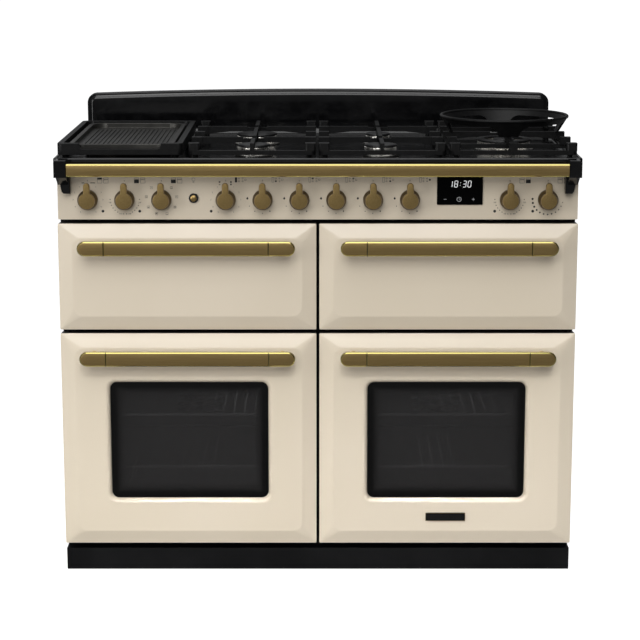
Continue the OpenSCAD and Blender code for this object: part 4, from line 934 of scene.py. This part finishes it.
def lit_digit(digit, x):
    """A digit of slanting segments: each segment is a hexagon between two of the digit's six corners."""
    solids = []
    for name in SEGMENTS[digit]:
        a, b = np.array(SEGMENT_ENDS[name]) * (DIGIT_W / 2, DIGIT_H / 2)
        ahead = (b - a) / np.linalg.norm(b - a)
        side = np.array([-ahead[1], ahead[0]]) * DIGIT_LINE / 2
        tip = ahead * DIGIT_LINE / 2
        a, b = a + ahead * SEGMENT_GAP * DIGIT_LINE, b - ahead * SEGMENT_GAP * DIGIT_LINE
        outline = np.array([a, a + tip - side, b - tip - side, b, b - tip + side, a + tip + side])
        outline[:, 0] += outline[:, 1] * DIGIT_LEAN
        solids.append(on_front(outline, x, DIGIT_Z, CLOCK.y))
    return solids


lit = []
for digit, right in zip("1830", (28.4, 39.4, 57.0, 67.2)):
    lit += lit_digit(digit, CLOCK.x + right * MM)
lit += [dot(CLOCK.x + (48.4 + s * 0.4) * MM, DIGIT_Z + s * 3 * MM, 1.3 * MM, CLOCK.y) for s in (-1, 1)]
piece("clock_digits", lit, CLOCK_LIGHT, "cooker")
keys = [bar(CLOCK.x + right * MM, KEY_Z + up * MM, w * MM, h * MM, CLOCK.y) for right, up, w, h in (
    (17, 0, 6, 0.9), (75.5, 0, 5.6, 1.0), (75.5, 0, 1.0, 5.6), (46, 1.3, 0.7, 3.2), (47, 0, 2.4, 0.7))]
keys.append(ring_mark(CLOCK.x + 46 * MM, KEY_Z, 10 * MM, 1.1 * MM, CLOCK.y))
piece("clock_key_marks", keys, CLOCK_KEYS, "cooker")


# Splashback: a pressed sheet with an arched top and a sloping band along its front edge

low, high, _, half = measures("splashback")
SPLASH_R = 22 * MM
SPLASH_ARCH = 9 * MM
SPLASH_BAND = 12 * MM
SPLASH_WALL = 2.5 * MM


def splash_ring(inset, y, bottom=low.z):
    """Bottom edge, straight sides, a quarter circle at each corner, and a shallow arc between them."""
    half_w, r = half.x - inset, SPLASH_R - inset
    shoulder = half_w - r
    arc_r = (shoulder ** 2 + SPLASH_ARCH ** 2) / (2 * SPLASH_ARCH)
    top = high.z - inset
    corner_z = top - SPLASH_ARCH - r
    right = polar(r, np.linspace(0, math.pi / 2, 9)) + (shoulder, corner_z)
    across = np.linspace(shoulder, -shoulder, 41)[1:-1]
    arch = np.stack([across, top - arc_r + np.sqrt(arc_r ** 2 - across ** 2)], 1)
    left = right[::-1] * (-1, 1)
    return upright(np.concatenate([[(half_w, bottom)], right, arch, left, [(-half_w, bottom)]]), 0, 0, y)


rings = [splash_ring(SPLASH_WALL, low.y + SPLASH_WALL + 1 * MM, low.z + SPLASH_WALL),
         splash_ring(SPLASH_WALL, high.y, low.z + SPLASH_WALL), splash_ring(0.4 * MM, high.y),
         splash_ring(0.0, high.y - 0.6 * MM)]
rings += [splash_ring(inset, low.y + depth * MM) for inset, depth in (
    (0.0, 7.5), (0.35 * MM, 6.4), (1.4 * MM, 5.6), (SPLASH_BAND - 1.2 * MM, 0.5), (SPLASH_BAND, 0.1),
    (SPLASH_BAND + 1.5 * MM, 0.0))]
stand_in("splashback", [loft(rings)], FINISHES["black_enamel"], 38)


# Hob tray: a rolled rim, a sloping inner wall and a level deck

low, high, tray_mid, tray_half = measures("hob_tray")
DECK_DROP = 12 * MM
DECK_Z = high.z - DECK_DROP
RIM_ROLL = 3 * MM


def tray_ring(inset, z, r):
    return flat(rounded(tray_half.x - inset, tray_half.y - inset, r), tray_mid.x, tray_mid.y, z)


rings = [tray_ring(3 * MM, DECK_Z - 2 * MM, 3 * MM), tray_ring(2 * MM, low.z, 4 * MM),
         tray_ring(0.3 * MM, low.z, 5 * MM)]
rings += [tray_ring(inset, high.z - depth, 6 * MM) for inset, depth in edge_round(RIM_ROLL, 5)]
rings += [tray_ring(inset * MM, high.z - drop * MM, r * MM) for inset, drop, r in (
    (5, 0, 6), (6.2, 0.5, 5), (7.2, 2, 5))]
rings += [tray_ring(inset * MM, DECK_Z + rise * MM, r * MM) for inset, rise, r in (
    (9, 2, 6), (10, 0.5, 7), (12, 0, 8))]
stand_in("hob_tray", [loft(rings)], FINISHES["black_enamel"], 50)


# Burners: turned crowns with flame slots, enamelled caps, and two plugs at each

SKIRT_H, CROWN_H, CAP_H = 6 * MM, 13 * MM, 6 * MM
CROWN_TOP = SKIRT_H + CROWN_H
STEM_R, STEM_DEPTH = 20 * MM, 17 * MM
CAP_GAP = 0.2 * MM
CAP_FACE, CAP_DOME = 5 * MM, 1 * MM
SLOT_DEPTH = 2.2 * MM
BURNER_STEP = 108 * MM
MODULE_Y, WOK_X = middle("wok_ring").y, middle("wok_ring").x
LEFT_X, CENTRE_X = middle("left_pan_support").x, middle("centre_pan_support").x
SMALL_BURNERS = [(LEFT_X, MODULE_Y - BURNER_STEP, 37.5 * MM), (LEFT_X, MODULE_Y + BURNER_STEP, 47.5 * MM),
                 (CENTRE_X, MODULE_Y - BURNER_STEP, 37.5 * MM), (CENTRE_X, MODULE_Y + BURNER_STEP, 30 * MM)]
WOK_R = 61 * MM
WOK_CORE_R = 22 * MM
PLUG_PROFILE = np.array([(0, 0), (2.5, 0), (2.5, 12), (1.2, 13), (1.2, 16.4), (0.6, 17), (0, 17)]) * MM
PLUG_OUT = 5 * MM
DIAGONAL = 0.71


def slotted(profile, x, y, slots, depth, slot_rows, count):
    """A surface of revolution whose radius, on the named rows, dips by depth in even slots round it."""
    angle = np.arange(count) * 2 * math.pi / count
    wave = np.clip(np.cos(slots * angle) * 3 - 1.2, 0, 1)
    return loft([flat(polar(r - (depth * wave if row in slot_rows else 0.0), angle), x, y, DECK_Z + height)
                 for row, (r, height) in enumerate(profile)])


def crown(x, y, r, slots):
    """A burner's skirt and slotted crown, open in the middle under its cap."""
    edge = [(1, 0.0), (3, 0.6 * MM), (3, 3.2 * MM), (1, 4.6 * MM), (-2.5, SKIRT_H), (-4, SKIRT_H + 1 * MM),
            (-4, SKIRT_H + 4 * MM), (-3.4, SKIRT_H + 5 * MM), (-3.2, CROWN_TOP - 1.2 * MM),
            (-3.8, CROWN_TOP - 0.2 * MM), (-5, CROWN_TOP), (-13, CROWN_TOP), (-13, SKIRT_H + 1 * MM)]
    profile = [(STEM_R, -STEM_DEPTH), (STEM_R, 0.0)] + [(r + out * MM, height) for out, height in edge]
    profile.append((0.0, SKIRT_H + 1 * MM))
    return slotted(profile, x, y, slots, SLOT_DEPTH, range(8, 13), slots * 8)


def cap(x, y, r, hole=0.0):
    """A burner cap: a rounded edge, then a very low dome, whose height falls with the radius squared."""
    z = DECK_Z + CROWN_TOP + CAP_GAP
    edge = r - 2.2 * MM
    inner = hole + 2 * MM if hole else 0.0
    profile = [(hole, 0.0), (r - 1 * MM, 0.0), (r - 0.2 * MM, 0.6 * MM), (r, 1.6 * MM), (r, 3.2 * MM),
               (r - 0.6 * MM, 4.4 * MM), (edge, CAP_FACE)]
    profile += [(inner + (edge - inner) * share, CAP_FACE + CAP_DOME * (1 - share ** 2))
                for share in (0.75, 0.5, 0.25)]
    if not hole:
        return spun(profile + [(0.0, CAP_H)], x, y, z)
    profile += [(inner, CAP_H), (hole, CAP_H - 1 * MM)]
    return loft([flat(circle(radius, 72), x, y, z + height) for radius, height in profile], closed=True)


crowns = [crown(x, y, r, int(r / MM * 0.8)) for x, y, r in SMALL_BURNERS]
caps = [cap(x, y, r - 3 * MM) for x, y, r in SMALL_BURNERS]
core = [(0.0, SKIRT_H), (WOK_CORE_R, SKIRT_H), (WOK_CORE_R, SKIRT_H + 3 * MM),
        (WOK_CORE_R - 1 * MM, SKIRT_H + 4 * MM), (WOK_CORE_R - 1 * MM, CROWN_TOP), (0.0, CROWN_TOP)]
crowns += [crown(WOK_X, MODULE_Y, WOK_R, 48), slotted(core, WOK_X, MODULE_Y, 20, 2 * MM, (3, 4), 160)]
caps += [cap(WOK_X, MODULE_Y, WOK_R - 1 * MM, 43 * MM), cap(WOK_X, MODULE_Y, WOK_CORE_R + 1 * MM)]
for x, y, r in SMALL_BURNERS + [(WOK_X, MODULE_Y, WOK_R + 3 * MM)]:
    reach = (r + PLUG_OUT) * DIAGONAL
    crowns += [spun(PLUG_PROFILE, x + side * reach, y + reach, DECK_Z, 16) for side in (-1, 1)]
stand_in("gas_burners", crowns, FINISHES["burner_alloy"], 40)
stand_in("burner_caps", caps, FINISHES["burner_cap_enamel"], 50)


# Wok ring: a flared band on four legs, with round-shouldered windows between them

RIM_TUBE_R = 3.5 * MM
FOOT_R = 118 * MM
BAND = 15 * MM
LEG_HALF = 21.5 * MM
LEG_FLARE = 22 * MM
WOK_WALL = 5 * MM


def wok_form():
    """The cone's lower edge is a height for each angle: zero on a leg, rising along a quarter ellipse to the
    band's bottom between legs. Each angle's wall runs from that edge to the rim, outside and in."""
    low, _, _, half = measures("wok_ring")
    height, rim_r = 2 * half.z, half.x
    top = height - RIM_TUBE_R
    angle = np.linspace(0, 2 * math.pi, 720, endpoint=False)
    from_leg = np.abs((angle + math.pi / 4) % (math.pi / 2) - math.pi / 4)
    across = np.clip((from_leg * FOOT_R - LEG_HALF) / LEG_FLARE, 0, 1)
    edge = (height - BAND) * np.sqrt(1 - (1 - across) ** 2)
    shares = np.linspace(0, 1, 9)
    rows = []
    for share, wall in [(s, 0.0) for s in shares] + [(s, WOK_WALL) for s in shares[::-1]]:
        z = edge + (top - edge) * share
        r = FOOT_R + (rim_r - 1 * MM - FOOT_R) * z / top - wall
        rows.append(flat(polar(r, angle), WOK_X, MODULE_Y, low.z + z))
    rim = [flat(circle(rim_r - RIM_TUBE_R + across, 144), WOK_X, MODULE_Y, low.z + top + up)
           for across, up in circle(RIM_TUBE_R, 16)]
    return [loft(rows, closed=True), loft(rim, closed=True)]


stand_in("wok_ring", wok_form(), FINISHES["cast_iron"], 40)


# Castings: the solids' own shapes with rounded edges

def softened(node, width):
    """Rounds a CAD node's edges: doubles welded, flat faces joined, and sharp edges bevelled."""
    part = frame["nodes"][node]
    weld = part.modifiers.new("weld", "WELD")
    weld.merge_threshold = 0.005 * MM
    faces = part.modifiers.new("faces", "DECIMATE")
    faces.decimate_type, faces.angle_limit = "DISSOLVE", math.radians(0.5)
    bevel = part.modifiers.new("edges", "BEVEL")
    bevel.width, bevel.segments = width, 2
    bevel.limit_method, bevel.angle_limit = "ANGLE", math.radians(35)


for node in ("left_pan_support", "centre_pan_support", "right_pan_support"):
    softened(node, 1.2 * MM)
softened("griddle_frame", 1.5 * MM)
softened("griddle_plate", 0.8 * MM)


# Floor, room, lamps and camera, which stands where the photograph's stood

FLOOR_HALF = 30.0
mesh = bpy.data.meshes.new("floor")
corners = [(x * FLOOR_HALF, y * FLOOR_HALF, 0) for x, y in ((-1, -1), (1, -1), (1, 1), (-1, 1))]
mesh.from_pydata(corners, [], [(0, 1, 2, 3)])
placed("floor", mesh)
paper = Finish("floor_paper")
matte = paper.add("ShaderNodeBsdfDiffuse", sockets={"Color": (0.33, 0.33, 0.33, 1.0)})
seen = paper.add("ShaderNodeLightPath", output="Is Camera Ray")
glow = paper.add("ShaderNodeEmission", sockets={"Color": (1, 1, 1, 1), "Strength": seen})
mesh.materials.append(paper.shown(paper.add("ShaderNodeAddShader", sockets={0: matte, 1: glow})))

# The room is dimmer to the sides and to the right, and white where the camera sees it
world = bpy.data.worlds.new("studio")
SCENE.world = world
world.use_nodes = True
room = Nodes(world.node_tree)
direction = room.add("ShaderNodeTexCoord", output="Generated")
across = room.add("ShaderNodeSeparateXYZ", sockets={0: direction}, output="X")
strength = abs(across).ramp(0.3, 0.9, 0.26, 0.10, "LINEAR") * across.ramp(-0.4, 0.4, 1.6, 0.5, "LINEAR")
dim = room.add("ShaderNodeBackground", sockets={"Color": (0.98, 0.99, 1.0, 1), "Strength": strength})
white = room.add("ShaderNodeBackground", sockets={"Color": (1, 1, 1, 1)})
seen = room.add("ShaderNodeLightPath", output="Is Camera Ray")
seen = seen.or_more(room.add("ShaderNodeLightPath", output="Is Transmission Ray"))
mixed = room.add("ShaderNodeMixShader", sockets={0: seen, 1: dim, 2: white})
room.add("ShaderNodeOutputWorld", sockets={"Surface": mixed})


def lamp(name, place, aim, size, power, spread=180, glossy=True):
    """A soft lamp of a width and height at a place, whose light goes towards aim, spreading by some degrees.
    Where it isn't glossy, no reflection shows it."""
    data = bpy.data.lights.new(name, "AREA")
    data.shape, data.size, data.size_y = "RECTANGLE", size[0], size[1]
    data.energy, data.spread = power, math.radians(spread)
    made = placed(name, data)
    made.location = place
    made.rotation_euler = (Vector(aim) - Vector(place)).to_track_quat("-Z", "Y").to_euler()
    made.visible_glossy = glossy


lamp("key", (-0.5, -5.2, 4.1), (0, -0.2, 0.6), (5.0, 3.2), 178)
lamp("side", (-3.0, -2.6, 1.3), (0, -0.2, 0.5), (1.2, 1.6), 32)
lamp("low", (0.2, -3.0, 2.6), (0.05, -0.3, 0.1), (1.6, 0.3), 0.95, 14, False)
lamp("strip", (0.0, -3.2, 5.3), (0, 0.3, 0.9), (3.6, 0.9), 36)
lamp("top", (0.1, -0.5, 3.2), (0, -0.3, 0.9), (2.6, 1.4), 18)
for node in ("left_oven_liner", "right_oven_liner"):
    low, high, inside, _ = measures(node)
    lamp(node + "_lamp", (inside.x + 60 * MM, inside.y - 130 * MM, high.z - 40 * MM),
         inside - Vector((0, 60 * MM, 0)), (0.2, 0.04), 0.35)
    lamp(node + "_front_lamp", (inside.x, low.y + 6 * MM, high.z - 30 * MM),
         (inside.x, low.y + 30 * MM, low.z), (0.3, 0.01), 1.6, 90)

camera_data = bpy.data.cameras.new("camera")
camera_data.sensor_width = 36
camera_data.lens = 111.15
camera = placed("camera", camera_data)
camera.location = (0.0045, -4.341, 1.387)
camera.rotation_euler = (math.radians(78.42), 0, 0)
SCENE.camera = camera
SCENE.view_settings.view_transform = "Standard"
